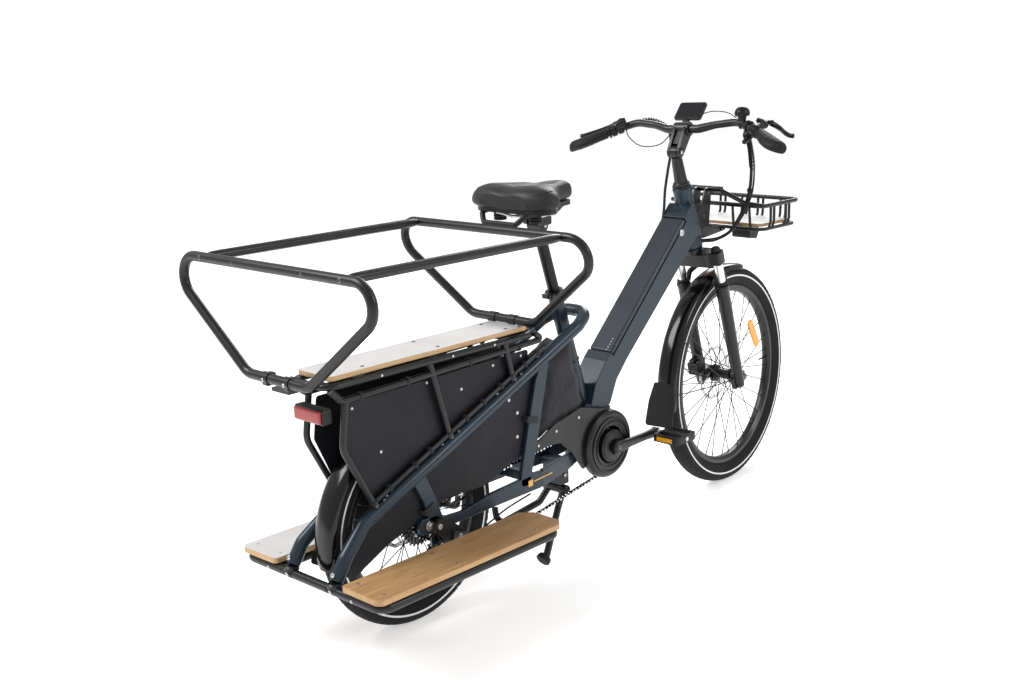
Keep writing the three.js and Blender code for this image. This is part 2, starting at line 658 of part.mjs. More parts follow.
// ---------------------------------------------------------------- stand
function standLeg(s) {
  const { y, z, footX, footY, footZ } = STAND;
  const leg = tube([at(s * 24, y + 4, z + 2), at(s * 34, y - 32, z - 42),
    at(s * footX, footY + 14, footZ + 6), at(s * footX, footY, footZ)], 9, 24);
  const sole = rod(at(s * footX, footY + 6, footZ + 4), at(s * footX, footY - 8, footZ - 5), 19, 10);
  return leg.add(sole);
}

function kickstand() {
  return unite(standLeg(1), standLeg(-1), crossBar(-40, 40, STAND.y, STAND.z, 12, 10));
}

// ---------------------------------------------------------------- seat
const seatAxis = new THREE.Vector3().subVectors(SEAT_TOP, SEAT_FOOT).normalize();
const alongSeat = (d) => SEAT_TOP.clone().addScaledVector(seatAxis, d);

function seatCollar() {
  const ring = rod(alongSeat(-12), alongSeat(4), 25, 12);
  const bore = rod(alongSeat(-12.5), alongSeat(0.3), SEAT_TUBE_R + 0.9, 12);
  const mouth = rod(alongSeat(-1), alongSeat(8), SEATPOST_R + 0.9, 12);
  const lug = box(-10, 10, SEAT_TOP.y - 36, SEAT_TOP.y - 20, SEAT_TOP.z - 15, SEAT_TOP.z - 1);
  return cut(ring.add(cut(lug, rod(alongSeat(-30), alongSeat(8), 22, 12))), bore, mouth);
}

function seatLever() {
  const pivot = at(19, SEAT_TOP.y - 28, SEAT_TOP.z - 8);
  const up = seatAxis.clone().multiplyScalar(7);
  const cam = rod(pivot.clone().sub(up), pivot.clone().add(up), 8, 10);
  const bends = [[30, 12], [37, 36], [34, 58]].map(([x, dy]) => at(x, pivot.y + dy, pivot.z));
  return cam.add(tube([pivot, ...bends], 4, 14));
}

function seatpost() {
  const post = rod(alongSeat(-158), alongSeat(186), SEATPOST_R, 12);
  const head = crossBar(-24, 24, alongSeat(190).y, alongSeat(190).z, 14, 10);
  return post.add(head);
}

// The saddle's cushion over its base, seen from above as a rounded wedge.
function saddle() {
  const plan = [[0, 350], [70, 352], [118, 362], [138, 386], [135, 416], [108, 450], [72, 484],
    [49, 520], [37, 554], [27, 584], [10, 604]];
  const outline = [...plan, ...plan.slice(1).reverse().map(([x, y]) => [-x, y])];
  const cushion = flatPlate(outline, 962, 1012, 16);
  const base = flatPlate(outline.map(([x, y]) => [x * 0.8, 500 + (y - 500) * 0.8]), 950, 970, 4);
  const rail = (s) => tube([at(s * 30, 410, 955), at(s * 26, 440, 932), at(s * 26, 530, 932),
    at(s * 14, 564, 955)], 4.5, 20);
  const handle = (s) => tube([at(-s, 354, 940), at(s * 74, 354, 940), at(s * 88, 430, 957)], 7, 20);
  return unite(cushion, base, rail(1), rail(-1), handle(1), handle(-1));
}

// ---------------------------------------------------------------- fork and bars
// The fork is drawn in the steering frame: forward is +Y and the steering axis is Z,
// with zero at the head tube's top.
function forkCrown() {
  const steerer = rod(at(0, 0, -206), at(0, 0, 5), 14, 12);
  const crown = box(-82, 82, -18, 34, -245, -204);
  const corner = (s) => box(s > 0 ? 50 : -90, s > 0 ? 90 : -50, -30, -2, -250, -190);
  const race = rod(at(0, 0, -206), at(0, 0, -HEAD_LENGTH - 1), 24, 12);
  const legs = [-1, 1].map((s) => rod(at(s * LEG_X, LEG_FORWARD, -520),
    at(s * LEG_X, LEG_FORWARD, -210), 14, 12));
  const knobs = [-1, 1].map((s) => rod(at(s * LEG_X, LEG_FORWARD, -206),
    at(s * LEG_X, LEG_FORWARD, -194), 12, 10));
  return unite(cut(crown, corner(1), corner(-1)), steerer, race, ...legs, ...knobs);
}

function forkLowers() {
  const leg = (s) => {
    const x = s * LEG_X;
    const outer = rod(at(x, LEG_FORWARD, -655), at(x, LEG_FORWARD, -318), 17.5, 14, 19.5);
    const bore = rod(at(x, LEG_FORWARD, -585), at(x, LEG_FORWARD, -300), 14.8, 12);
    const lug = box(s > 0 ? 52 : -60, s > 0 ? 60 : -52, 6, AXLE_FORWARD + 12, -660, -630);
    const notch = crossBar(s * 40, s * 70, AXLE_FORWARD, -AXLE_DOWN, 5.6, 10);
    return cut(outer.add(lug), bore, notch);
  };
  const arch = tube([at(-LEG_X, 28, -340), at(-58, 50, -284), at(58, 50, -284),
    at(LEG_X, 28, -340)], 7, 26, 8);
  const caliper = box(-58, -44, -52, 4, -600, -556);
  const padSlot = box(-47, -36, -70, 20, -620, -540);
  const bores = [-1, 1].map((s) => rod(at(s * LEG_X, LEG_FORWARD, -585),
    at(s * LEG_X, LEG_FORWARD, -300), 14.8, 12));
  const added = cut(arch.add(rod(at(-62, 30, -342), at(-58, 46, -292), 6, 6)), ...bores);
  return unite(leg(1), leg(-1), added, cut(caliper, padSlot, bores[0]));
}

function stem() {
  const riser = rod(at(0, 0, 5.5), at(0, 0, 84), 18, 12, 15);
  const cap = rod(at(0, 0, 5.5), at(0, 0, 16), 24, 12, 20);
  const knuckle = crossBar(-11, 11, 0, 107, 17, 12);
  const neck = box(-11, 11, -12, 12, 78, 106);
  return unite(riser, cap, knuckle, neck);
}

const KINK = { y: 1069.8, z: 1042.9 };
const CLAMP = { y: 1113, z: 1104 };
const BAR_R = 11;
const GRIP_IN = at(222, 1111, 1105);
const GRIP_OUT = at(345, 1046, 1058);
const gripDirection = new THREE.Vector3().subVectors(GRIP_OUT, GRIP_IN).normalize();
const onGrip = (d, ahead = 0, up = 0) => {
  const level = new THREE.Vector3().crossVectors(at(0, 0, 1), gripDirection).normalize();
  return GRIP_IN.clone().addScaledVector(gripDirection, d).addScaledVector(level, ahead)
    .add(at(0, 0, up));
};

function stemHead() {
  const ear = (s) => {
    const x0 = s > 0 ? 11.4 : -20;
    const x1 = s > 0 ? 20 : -11.4;
    const lobe = crossBar(x0, x1, KINK.y, KINK.z, 16, 12);
    const arm = sidePlate([[KINK.y - 12, KINK.z + 8], [CLAMP.y - 16, CLAMP.z + 12],
      [CLAMP.y + 12, CLAMP.z - 14], [KINK.y + 14, KINK.z - 6]], x0, x1);
    return lobe.add(arm);
  };
  const barrel = crossBar(-24, 24, CLAMP.y, CLAMP.z, 20, 14);
  return cut(unite(ear(1), ear(-1), barrel), crossBar(-30, 30, CLAMP.y, CLAMP.z, BAR_R + 1.2, 14));
}

function handlebar(r = BAR_R) {
  const half = (s) => [at(s * 345, 1046, 1058), at(s * 222, 1111, 1105), at(s * 165, 1131, 1122),
    at(s * 100, 1124, 1115), at(s * 50, CLAMP.y, CLAMP.z)];
  return tube([...half(-1), ...half(1).reverse()], r, 60, 8, 2);
}

// A sleeve on the straight end of the right-hand bar, from d0 to d1 along it.
function sleeve(d0, d1, r, sides = 10, endR = r) {
  return rod(onGrip(d0), onGrip(d1), r, sides, endR);
}
const barBore = () => handlebar(BAR_R + GAP);

function grip() {
  const body = sleeve(28, 156, 16.5, 10, 15);
  const palm = rod(onGrip(60, -9, -4), onGrip(146, -12, -6), 13, 8, 17);
  const flange = sleeve(26, 30, 20);
  return cut(unite(body, palm, flange), rod(onGrip(0), onGrip(147.8), BAR_R + 1.1, 10));
}

function leverBody() {
  const clamp = sleeve(6, 22, 17, 10);
  const arm = rod(onGrip(14, 6, 3), onGrip(10, 46, 14), 9, 8, 8);
  const reservoir = rod(onGrip(14, 28, 12), onGrip(-18, 32, 14), 10, 8, 8);
  return cut(unite(clamp, arm, reservoir), barBore(), leverPivotRoom());
}

const LEVER = { along: 12, ahead: 52, up: 18 };
const leverPivot = () => onGrip(LEVER.along, LEVER.ahead, LEVER.up);
const leverPivotRoom = () => rod(onGrip(LEVER.along, LEVER.ahead, LEVER.up - 5.5),
  onGrip(LEVER.along, LEVER.ahead, LEVER.up + 5.5), 12, 10);

function brakeLever() {
  const pin = rod(onGrip(LEVER.along, LEVER.ahead, LEVER.up - 5),
    onGrip(LEVER.along, LEVER.ahead, LEVER.up + 5), 9, 8);
  const blade = tube([leverPivot(), onGrip(50, 58, 20), onGrip(104, 46, 26), onGrip(128, 52, 30)],
    5, 30, 6);
  return pin.add(blade);
}

function display() {
  const screen = solidOf(new THREE.BoxGeometry(88, 62, 11).rotateX(rad(46))
    .translate(0, 1155, 1151));
  const foot = rod(at(0, 1130, 1124), at(0, 1152, 1146), 7, 8);
  const band = crossBar(-9, 9, CLAMP.y + 15, CLAMP.z + 18, 5, 8);
  return cut(unite(screen, foot, band), crossBar(-30, 30, CLAMP.y, CLAMP.z, 20.4, 14));
}

const PAD_BACK = -14; // the control pad stands behind and above the bar
function controlPad() {
  const band = sleeve(-14, 2, 16.5, 10);
  const face = rod(onGrip(-26, -14, 14), onGrip(4, -18, 12), 13, 8, 12);
  return cut(unite(band, face), barBore(), buttonRoom());
}

const BUTTON = { along: -12, up: 20 };
const buttonRoom = () => rod(onGrip(BUTTON.along, PAD_BACK - 2, BUTTON.up - 3),
  onGrip(BUTTON.along, PAD_BACK - 2, BUTTON.up + 12), 6.5, 10);
function controlButton() {
  return rod(onGrip(BUTTON.along, PAD_BACK - 2, BUTTON.up + 1),
    onGrip(BUTTON.along, PAD_BACK - 2, BUTTON.up + 8), 6, 10);
}

function shifter() {
  const band = sleeve(-24, -12, 16.5, 10);
  const pod = rod(onGrip(-24, 4, -20), onGrip(-12, -8, -30), 15, 10, 12);
  const bridge = rod(onGrip(-18, 2, -10), onGrip(-18, 0, -24), 8, 8);
  return cut(unite(band, pod, bridge), barBore());
}

function shiftPaddle() {
  const hub = rod(onGrip(-11.4, -8.6, -30.5), onGrip(-6, -13.4, -35), 8, 8);
  const thumb = rod(onGrip(-7, -12, -34), onGrip(12, -34, -30), 5, 6, 7);
  return hub.add(thumb);
}

function bell() {
  const place = at(170, 1122, 1147);
  const skirt = new THREE.CylinderGeometry(21, 19, 8, 12).rotateX(Math.PI / 2);
  const dome = new THREE.SphereGeometry(20, 12, 8);
  const ring = solidOf(skirt.translate(place.x, place.y, place.z));
  const ball = solidOf(dome.translate(place.x, place.y, place.z + 1));
  const cap = cut(ball, box(100, 200, 1080, 1200, 1100, place.z - 3));
  const foot = rod(at(place.x, place.y + 2, place.z - 14), at(place.x, place.y, place.z), 7, 8);
  return cut(unite(ring, cap, foot), barBore());
}

// The brake, gear and lamp leads, gathered in one sleeve from the bars to the head tube.
const CABLE_ROUTE = [
  at(172, 1166, 1092), at(168, 1196, 1050), at(160, 1222, 990), at(146, 1236, 920),
  at(120, 1240, 860), at(88, 1228, 806), at(58, 1206, 778), at(38, 1184, 774),
];
function cableBundle() {
  const path = new THREE.CatmullRomCurve3(CABLE_ROUTE);
  const settings = { steps: 20, extrudePath: path, bevelEnabled: false };
  return solidOf(new THREE.ExtrudeGeometry(roundSection(5.5, 8), settings));
}

// ---------------------------------------------------------------- assembly
const bicycle = new THREE.Group();
bicycle.position.set(0, -ORIGIN_Y, 0);
const add = (name, solid, material, group = bicycle) => {
  const mesh = meshOf(name, solid, material);
  group.add(mesh);
  return mesh;
};
// The left-hand twin of a right-hand piece is the same solid, mirrored.
const addPair = (name, make, material, group = bicycle) => {
  add(name + "_right", make(), material(), group);
  add(name + "_left", make(), material(), group).scale.x = -1;
};

add("front_frame", frontFrame(), FRAME_PAINT());
add("battery", battery(), FRAME_PAINT());
add("motor_housing", motorHousing(), BLACK_PLASTIC());
add("side_rails", sideRails(), FRAME_PAINT());
add("stays", stays(), FRAME_PAINT());

add("rack_frame", rackFrame(), BLACK_PAINT());
add("deck_board", deckBoard(), BAMBOO());
add("rear_hoop", hoop(REAR_HOOP_Y, 678, 0), BLACK_PAINT());
add("front_hoop", hoop(FRONT_HOOP_Y, 690, FRONT_HOOP_LEAN), BLACK_PAINT());
addPair("cage_rail", cageRail, BLACK_PAINT);

addPair("side_panel", rackPanel, SHEET_BLACK);
addPair("wheel_skirt", wheelSkirt, SHEET_BLACK);
add("frame_bag", frameBag(), SHEET_BLACK());
add("rear_mudguard", mudguard(0, REAR_R, REAR_R, 18, 190), GLOSS_BLACK());
add("rear_light", rearLight(), RED_LENS());

add("footboard_frame", footboardFrame(), BLACK_PAINT());
addPair("footboard", footboard, BAMBOO);

add("basket_frame", basketFrame(), BLACK_PAINT());
add("basket_board", basketBoard(), BAMBOO());
add("front_light", frontLight(), BLACK_PLASTIC());

add("rear_tyre", tyre(REAR_R, 0, REAR_R), RUBBER());
const REAR_HUB = { axle: 82, shell: 27, drive: 56, driveR: 15, rotor: -37, rotorR: 80 };
add("rear_wheel", wheel(REAR_R, 0, REAR_R, REAR_HUB), BLACK_PAINT());
add("cassette", cassette(), STEEL());
add("chain", chain(), STEEL());
add("derailleur_body", derailleurBody(), BLACK_PAINT());
add("derailleur_cage", derailleurCage(), BLACK_PAINT());
add("chain_cover", chainCover(), BLACK_PLASTIC());
add("crankset", crankset(), BLACK_PAINT());
add("pedal_right", pedal(1), BLACK_PLASTIC());
add("pedal_left", pedal(-1), BLACK_PLASTIC());
add("kickstand", kickstand(), BLACK_PAINT());

add("seat_collar", seatCollar(), BLACK_PAINT());
add("seat_lever", seatLever(), BLACK_PAINT());
add("seatpost", seatpost(), BLACK_PAINT());
add("saddle", saddle(), VINYL());

// Everything that steers. The inner group is upright again, so the bars and the front
// wheel are drawn straight ahead in the bicycle's own axes.
const steeringFrame = new THREE.Group();
steeringFrame.position.copy(HEAD_TOP);
steeringFrame.rotation.x = rad(HEAD_TILT);
const steered = new THREE.Group();
steered.rotation.z = rad(STEER);
const upright = new THREE.Group();
upright.rotation.x = -rad(HEAD_TILT);
upright.position.copy(HEAD_TOP).negate().applyAxisAngle(at(1, 0, 0), -rad(HEAD_TILT));
bicycle.add(steeringFrame);
steeringFrame.add(steered);
steered.add(upright);

add("fork_crown", forkCrown(), BLACK_PAINT(), steered);
add("fork_lowers", forkLowers(), BLACK_PAINT(), steered);
add("stem", stem(), BLACK_PAINT(), steered);
add("front_mudguard", frontMudguard(), GLOSS_BLACK(), upright);
add("front_tyre", tyre(FRONT_R, WHEELBASE, FRONT_R), RUBBER(), upright);
const FRONT_HUB = { axle: 63, shell: 28, drive: 34, driveR: 10, rotor: -38, rotorR: 86 };
add("front_wheel", wheel(FRONT_R, WHEELBASE, FRONT_R, FRONT_HUB), BLACK_PAINT(), upright);
add("stem_head", stemHead(), BLACK_PAINT(), upright);
add("handlebar", handlebar(), BLACK_PAINT(), upright);
addPair("grip", grip, RUBBER, upright);
addPair("lever_body", leverBody, BLACK_PAINT, upright);
addPair("brake_lever", brakeLever, BLACK_PAINT, upright);
add("display", display(), BLACK_PLASTIC(), upright);
add("control_pad", controlPad(), BLACK_PLASTIC(), upright).scale.x = -1;
add("control_button", controlButton(), RUBBER(), upright).scale.x = -1;
add("shifter", shifter(), BLACK_PLASTIC(), upright);
add("shift_paddle", shiftPaddle(), BLACK_PLASTIC(), upright);
add("bell", bell(), BLACK_PAINT(), upright);
add("cable_bundle", cableBundle(), RUBBER(), upright);

export default bicycle;
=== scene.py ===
import math

import bmesh
import bpy
import numpy as np
from mathutils import Matrix, Vector


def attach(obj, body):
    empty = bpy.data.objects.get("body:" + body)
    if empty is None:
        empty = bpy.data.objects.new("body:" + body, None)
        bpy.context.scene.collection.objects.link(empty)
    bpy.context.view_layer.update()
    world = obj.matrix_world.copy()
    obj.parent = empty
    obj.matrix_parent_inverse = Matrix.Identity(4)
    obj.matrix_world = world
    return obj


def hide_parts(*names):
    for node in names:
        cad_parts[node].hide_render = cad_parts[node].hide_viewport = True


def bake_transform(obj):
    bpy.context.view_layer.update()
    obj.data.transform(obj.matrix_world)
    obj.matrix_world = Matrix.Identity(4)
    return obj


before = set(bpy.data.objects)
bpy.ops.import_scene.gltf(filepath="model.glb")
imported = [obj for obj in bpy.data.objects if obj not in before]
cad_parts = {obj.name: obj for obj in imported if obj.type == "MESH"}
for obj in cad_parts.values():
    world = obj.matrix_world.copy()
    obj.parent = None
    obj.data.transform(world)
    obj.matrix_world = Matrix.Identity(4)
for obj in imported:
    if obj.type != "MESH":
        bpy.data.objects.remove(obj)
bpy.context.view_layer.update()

# ------------------------------------------------------------------ driving dimensions, mm
# The bicycle is laid out from the ground point under the rear axle, as the CAD is.
ORIGIN_Y = 652.0
WHEELBASE, FRONT_R, REAR_R = 1332.0, 336.0, 258.0
HEAD_TOP = np.array([0.0, 1101.0, 941.0])
HEAD_TILT = math.radians(17)
STEER = math.radians(4.5)
HEAD_LENGTH = 187.0
LEG_X, LEG_FORWARD = 66.0, 14.0
AXLE_FORWARD, AXLE_DOWN = 44.0, 646.1
SEAT_TOP = np.array([0.0, 540.0, 727.0])
SEAT_FOOT = np.array([0.0, 643.0, 403.0])
CRANK_Y, CRANK_Z, CRANK_LENGTH = 678.0, 284.5, 165.0
CHAIN_X = 50.0
MOTOR, COVER = (0, 688, 302), (0, 672, 290)
HOOP_BACK, HOOP_FRONT, CAGE_X, CAGE_Z = -348, 302, 243, 921
RAIL_R, RAIL_X = 16.5, 63.0
HOOP_R = 11.5
STAY_IN, STAY_OUT = 60.0, 72.0
BOARD_TOP, DECK_TOP = 226.0, 675.0
BASKET_HALF, BASKET_BACK, BASKET_FRONT, BASKET_RIM, BASKET_FLOOR = 164.0, 1270.0, 1470.0, 876.0, 807.0
GUIDE = (30.0, 188.0, 18.0)
TENSION = (44.0, 131.0, 18.0)
CHAIN_PITCH = 12.7
TYRE_DEPTH = 55.0
KINK = (1069.8, 1042.9)
CLAMP = (1113.0, 1104.0)
SADDLE_BACK, SADDLE_LENGTH, SADDLE_RIM, SADDLE_LIMIT = 351.0, 253.0, 968.0, 1016.5
GRIP_IN = np.array([222.0, 1111.0, 1105.0])
GRIP_OUT = np.array([345.0, 1046.0, 1058.0])

# Shading angle in degrees, air in the soft pieces, and the bodies that turn with the steering
ACROSS, UP = (1, 0, 0), (0, 0, 1)
SHARP_ANGLE = 32.0
AIR_PRESSURE, AIR_FRAMES = 4.0, 20
STEERED_BODIES = ("steering", "fork_lowers", "front_wheel", "cockpit", "brake_lever_right",
                  "brake_lever_left", "control_button", "shift_paddle")


def vec(*p):
    return np.array(p, float)


def unit(v):
    v = np.asarray(v, float)
    return v / np.linalg.norm(v)


GRIP_DIR = unit(GRIP_OUT - GRIP_IN)
GRIP_AHEAD = unit(np.cross([0, 0, 1], GRIP_DIR))
SEAT_AXIS = unit(SEAT_TOP - SEAT_FOOT)
STEER_AXIS = vec(0, -math.sin(HEAD_TILT), math.cos(HEAD_TILT))


def on_grip(d, ahead=0.0, up=0.0):
    return GRIP_IN + GRIP_DIR * d + GRIP_AHEAD * ahead + vec(0, 0, up)


def fork(x, forward, up):
    """A point given across, ahead of and along the steering axis."""
    c, s = math.cos(HEAD_TILT), math.sin(HEAD_TILT)
    return HEAD_TOP + vec(x, forward * c - up * s, forward * s + up * c)


def rail_z(y):
    return 311 + 0.427 * (y + 211)


def seat_at(d):
    return SEAT_TOP + SEAT_AXIS * d


def turned_by_steering(points):
    """The bars and front wheel are drawn straight ahead, then turned a little to the left."""
    k = STEER_AXIS
    p = points - HEAD_TOP
    cross = np.cross(k, p)
    along = np.outer(p @ k, k)
    return p * math.cos(STEER) + cross * math.sin(STEER) + along * (1 - math.cos(STEER)) + HEAD_TOP


def to_scene(points):
    """Bicycle millimetres as scene metres, with the origin moved to the middle of the bicycle."""
    return (np.asarray(points, float) - vec(0, ORIGIN_Y, 0)) * 0.001


# ------------------------------------------------------------------ mesh building
class Shape:
    """Vertices and faces of one piece, in mm, each face with a material number."""

    def __init__(self):
        self.points, self.faces, self.kinds = [], [], []
        self.count = 0

    def add(self, part, kind=0):
        points, faces = part
        points = np.asarray(points, float)
        self.points.append(points)
        self.faces += [tuple(i + self.count for i in f) for f in faces]
        self.kinds += [kind] * len(faces)
        self.count += len(points)
        return self

    def both(self, part, kind=0):
        """The part and its mirror image on the other side."""
        self.add(part, kind)
        return self.add(mirror(part), kind)


def mirror(part):
    points, faces = part
    points = np.array(points, float)
    points[:, 0] *= -1
    return points, [tuple(reversed(f)) for f in faces]


def bend(corners, radius, steps=8, closed=False):
    """Corners joined by straight runs and round bends."""
    corners = [np.asarray(c, float) for c in corners]
    n = len(corners)
    out = []
    for i, corner in enumerate(corners):
        if not closed and i in (0, n - 1):
            out.append(corner)
            continue
        before = corners[i - 1] - corner
        after = corners[(i + 1) % n] - corner
        half = math.acos(max(-1, min(1, float(unit(before) @ unit(after))))) / 2
        r = radius[i] if isinstance(radius, (list, tuple)) else radius
        room = 0.48 * min(np.linalg.norm(before), np.linalg.norm(after))
        reach = min(r / math.tan(half), room) if half > 1e-3 else room
        a, b = unit(before) * reach, unit(after) * reach
        if math.pi - 2 * half < 0.02:
            out.append(corner)
            continue
        centre = unit(a + b) * reach / math.cos(half)
        sweep = math.pi - 2 * half
        for k in range(steps + 1):
            t = k / steps
            spot = (a - centre) * math.sin(sweep * (1 - t)) + (b - centre) * math.sin(sweep * t)
            out.append(spot / math.sin(sweep) + centre + corner)
    return out


def smooth_path(points, steps=8):
    """A smooth curve through the points."""
    p = [np.asarray(q, float) for q in points]
    p = [2 * p[0] - p[1]] + p + [2 * p[-1] - p[-2]]
    out = []
    for i in range(1, len(p) - 2):
        for k in range(steps):
            t = k / steps
            a, b, c, d = p[i - 1], p[i], p[i + 1], p[i + 2]
            out.append(0.5 * (2 * b + (c - a) * t + (2 * a - 5 * b + 4 * c - d) * t * t
                              + (3 * b - a - 3 * c + d) * t ** 3))
    out.append(p[-2])
    return out


def skin(rings, around, closed=False):
    """Faces over rings of points; the ends are joined when closed and capped when not."""
    faces = []
    for i in range(rings if closed else rings - 1):
        here, there = i * around, (i + 1) % rings * around
        for k in range(around):
            l = (k + 1) % around
            faces.append((here + k, here + l, there + l, there + k))
    if not closed:
        faces.append(tuple(range(around - 1, -1, -1)))
        faces.append(tuple((rings - 1) * around + k for k in range(around)))
    return faces


def circle(steps):
    return [2 * math.pi * k / steps for k in range(steps)]


def oval(wide, tall, steps=16, power=1.0):
    """An oval section; a power under 1 squares it off."""
    def pull(value):
        return math.copysign(abs(value) ** power, value)
    return [(wide * pull(math.cos(t)), tall * pull(math.sin(t))) for t in circle(steps)]


def sweep(path, radius, sides=20, section=None, up=UP, closed=False):
    """A tube along a path; radius may vary, and a section gives another outline."""
    path = [np.asarray(p, float) for p in path]
    n = len(path)
    radii = radius if hasattr(radius, "__len__") else [radius] * n
    ring = section or oval(1, 1, sides)
    points = []
    side = None
    for i in range(n):
        back = path[i - 1] if (i or closed) else path[0]
        ahead = path[(i + 1) % n] if (i < n - 1 or closed) else path[-1]
        along = unit(ahead - back)
        if side is None:
            side = np.cross(along, up)
            if np.linalg.norm(side) < 1e-3:
                side = np.cross(along, ACROSS)
        side = unit(side - along * (side @ along))
        top = np.cross(side, along)
        for a, b in ring:
            points.append(path[i] + (side * a + top * b) * radii[i])
    return points, skin(n, len(ring), closed)


def rod(a, b, r, r2=None, sides=20):
    return sweep([a, b], [r, r if r2 is None else r2], sides)


def spin(profile, origin, axis, sides=48, closed=False):
    """A solid of revolution: profile is (radius, distance along the axis) from the origin."""
    axis = unit(axis)
    side = np.cross(axis, (0.0, 0.3, 1.0))
    side = unit(side)
    top = np.cross(axis, side)
    origin = np.asarray(origin, float)
    m = len(profile)
    points, faces = [], []
    for a in circle(sides):
        out = side * math.cos(a) + top * math.sin(a)
        for r, d in profile:
            points.append(origin + out * r + axis * d)
    span = m if closed else m - 1
    for k in range(sides):
        l = (k + 1) % sides
        for i in range(span):
            j = (i + 1) % m
            faces.append((k * m + i, l * m + i, l * m + j, k * m + j))
    if not closed:
        faces.append(tuple(k * m for k in range(sides - 1, -1, -1)))
        faces.append(tuple(k * m + m - 1 for k in range(sides)))
    return points, faces


def prism(outline, low, high, along="x"):
    """A plate: the outline is drawn in the side view for x, in the top view for z."""
    def place(p, d):
        if along == "x":
            return (d, p[0], p[1])
        if along == "z":
            return (p[0], p[1], d)
        return (p[0], d, p[1])
    n = len(outline)
    points = [place(p, low) for p in outline] + [place(p, high) for p in outline]
    faces = [tuple(range(n)), tuple(range(2 * n - 1, n - 1, -1))]
    faces += [(i, n + i, n + (i + 1) % n, (i + 1) % n) for i in range(n)]
    return points, faces


def side_plate(outline, s, near, far):
    """A plate on one side: s is 1 on the right and -1 on the left."""
    return prism(outline, *sorted((s * near, s * far)))


def hollow(outer, inner, low, high, place):
    """A plate with a hole; both outlines have the same number of points."""
    points = [place(p, d) for outline in (outer, inner) for d in (low, high) for p in outline]
    n = len(outer)
    faces = []
    for i in range(n):
        j = (i + 1) % n
        faces += [(i, j, n + j, n + i), (2 * n + j, 2 * n + i, 3 * n + i, 3 * n + j),
                  (j, i, 2 * n + i, 2 * n + j), (n + i, n + j, 3 * n + j, 3 * n + i)]
    return points, faces


def block(x0, x1, y0, y1, z0, z1):
    return prism([(x0, y0), (x1, y0), (x1, y1), (x0, y1)], z0, z1, "z")


def moved(part, origin, x_axis, y_axis, z_axis):
    """A part drawn round zero, put at an origin with its axes turned."""
    points, faces = part
    m = np.array([x_axis, y_axis, z_axis], float)
    return np.asarray(points, float) @ m + np.asarray(origin, float), faces


def bolt(place, axis, r=4.5, height=3.0):
    """A button-head screw with a round socket."""
    profile = [(r, 0), (r, height * 0.45), (r * 0.8, height * 0.85), (r * 0.5, height),
               (r * 0.45, height), (r * 0.42, height * 0.4)]
    return spin(profile, place, axis, 14)


def dome(place, axis, r=4.0, height=2.2):
    return spin([(r, 0), (r * 0.93, height * 0.45), (r * 0.7, height * 0.8), (r * 0.35, height)],
                place, axis, 14)


def rounded_rect(x0, x1, y0, y1, r, steps=6):
    corners = [(x1 - r, y1 - r, 0), (x0 + r, y1 - r, 90), (x0 + r, y0 + r, 180), (x1 - r, y0 + r, 270)]
    out = []
    for cx, cy, start in corners:
        for k in range(steps + 1):
            a = math.radians(start + 90 * k / steps)
            out.append((cx + r * math.cos(a), cy + r * math.sin(a)))
    return out


def fillet2d(corners, radius, steps=6):
    pts = bend([(x, y, 0) for x, y in corners], radius, steps, closed=True)
    return [(p[0], p[1]) for p in pts]


# ------------------------------------------------------------------ materials
class Maker:
    """One material's nodes: each socket gets a value or a link."""

    def __init__(self, name):
        self.material = bpy.data.materials.new(name)
        self.material.use_nodes = True
        self.tree = self.material.node_tree
        self.shader = self.tree.nodes["Principled BSDF"]

    def put(self, node, sockets):
        for key, value in sockets.items():
            if isinstance(value, bpy.types.NodeSocket):
                self.tree.links.new(value, node.inputs[key])
            else:
                node.inputs[key].default_value = value

    def node(self, kind, sockets, **settings):
        node = self.tree.nodes.new("ShaderNode" + kind)
        for key, value in settings.items():
            setattr(node, key, value)
        self.put(node, sockets)
        return node

    def coords(self, stretch=(1, 1, 1), turn=(0, 0, 0)):
        """Object coordinates in metres, stretched or turned."""
        place = self.node("TexCoord", {}).outputs["Object"]
        return self.node("Mapping", {"Vector": place, "Scale": stretch, "Rotation": turn}).outputs["Vector"]

    def noise(self, scale, detail=4.0, rough=0.55, stretch=(1, 1, 1)):
        sockets = {"Vector": self.coords(stretch), "Scale": scale, "Detail": detail, "Roughness": rough}
        return self.node("TexNoise", sockets).outputs["Fac"]

    def ramp(self, value, stops):
        node = self.node("ValToRGB", {"Fac": value})
        elements = node.color_ramp.elements
        while len(elements) < len(stops):
            elements.new(0.5)
        for element, (place, color) in zip(elements, stops):
            element.position = place
            element.color = (*color, 1)
        return node.outputs["Color"]

    def spread(self, value, low, high, start=0.3, end=0.7):
        sockets = {"Value": value, "From Min": start, "From Max": end, "To Min": low, "To Max": high}
        return self.node("MapRange", sockets).outputs["Result"]

    def mix(self, share, first, second, blend="MIX"):
        sockets = {"Fac": share, "Color1": first, "Color2": second}
        return self.node("MixRGB", sockets, blend_type=blend).outputs["Color"]

    def math(self, operation, *values):
        return self.node("Math", dict(enumerate(values)), operation=operation).outputs[0]

    def bump(self, height, strength, distance, below=None):
        """Adds relief to the shader, on top of an earlier relief where there is one."""
        sockets = {"Height": height, "Strength": strength, "Distance": distance}
        if below:
            sockets["Normal"] = below
        normal = self.node("Bump", sockets).outputs["Normal"]
        self.put(self.shader, {"Normal": normal})
        return normal


def shade(color, k):
    return tuple(min(1.0, x * k) for x in color)


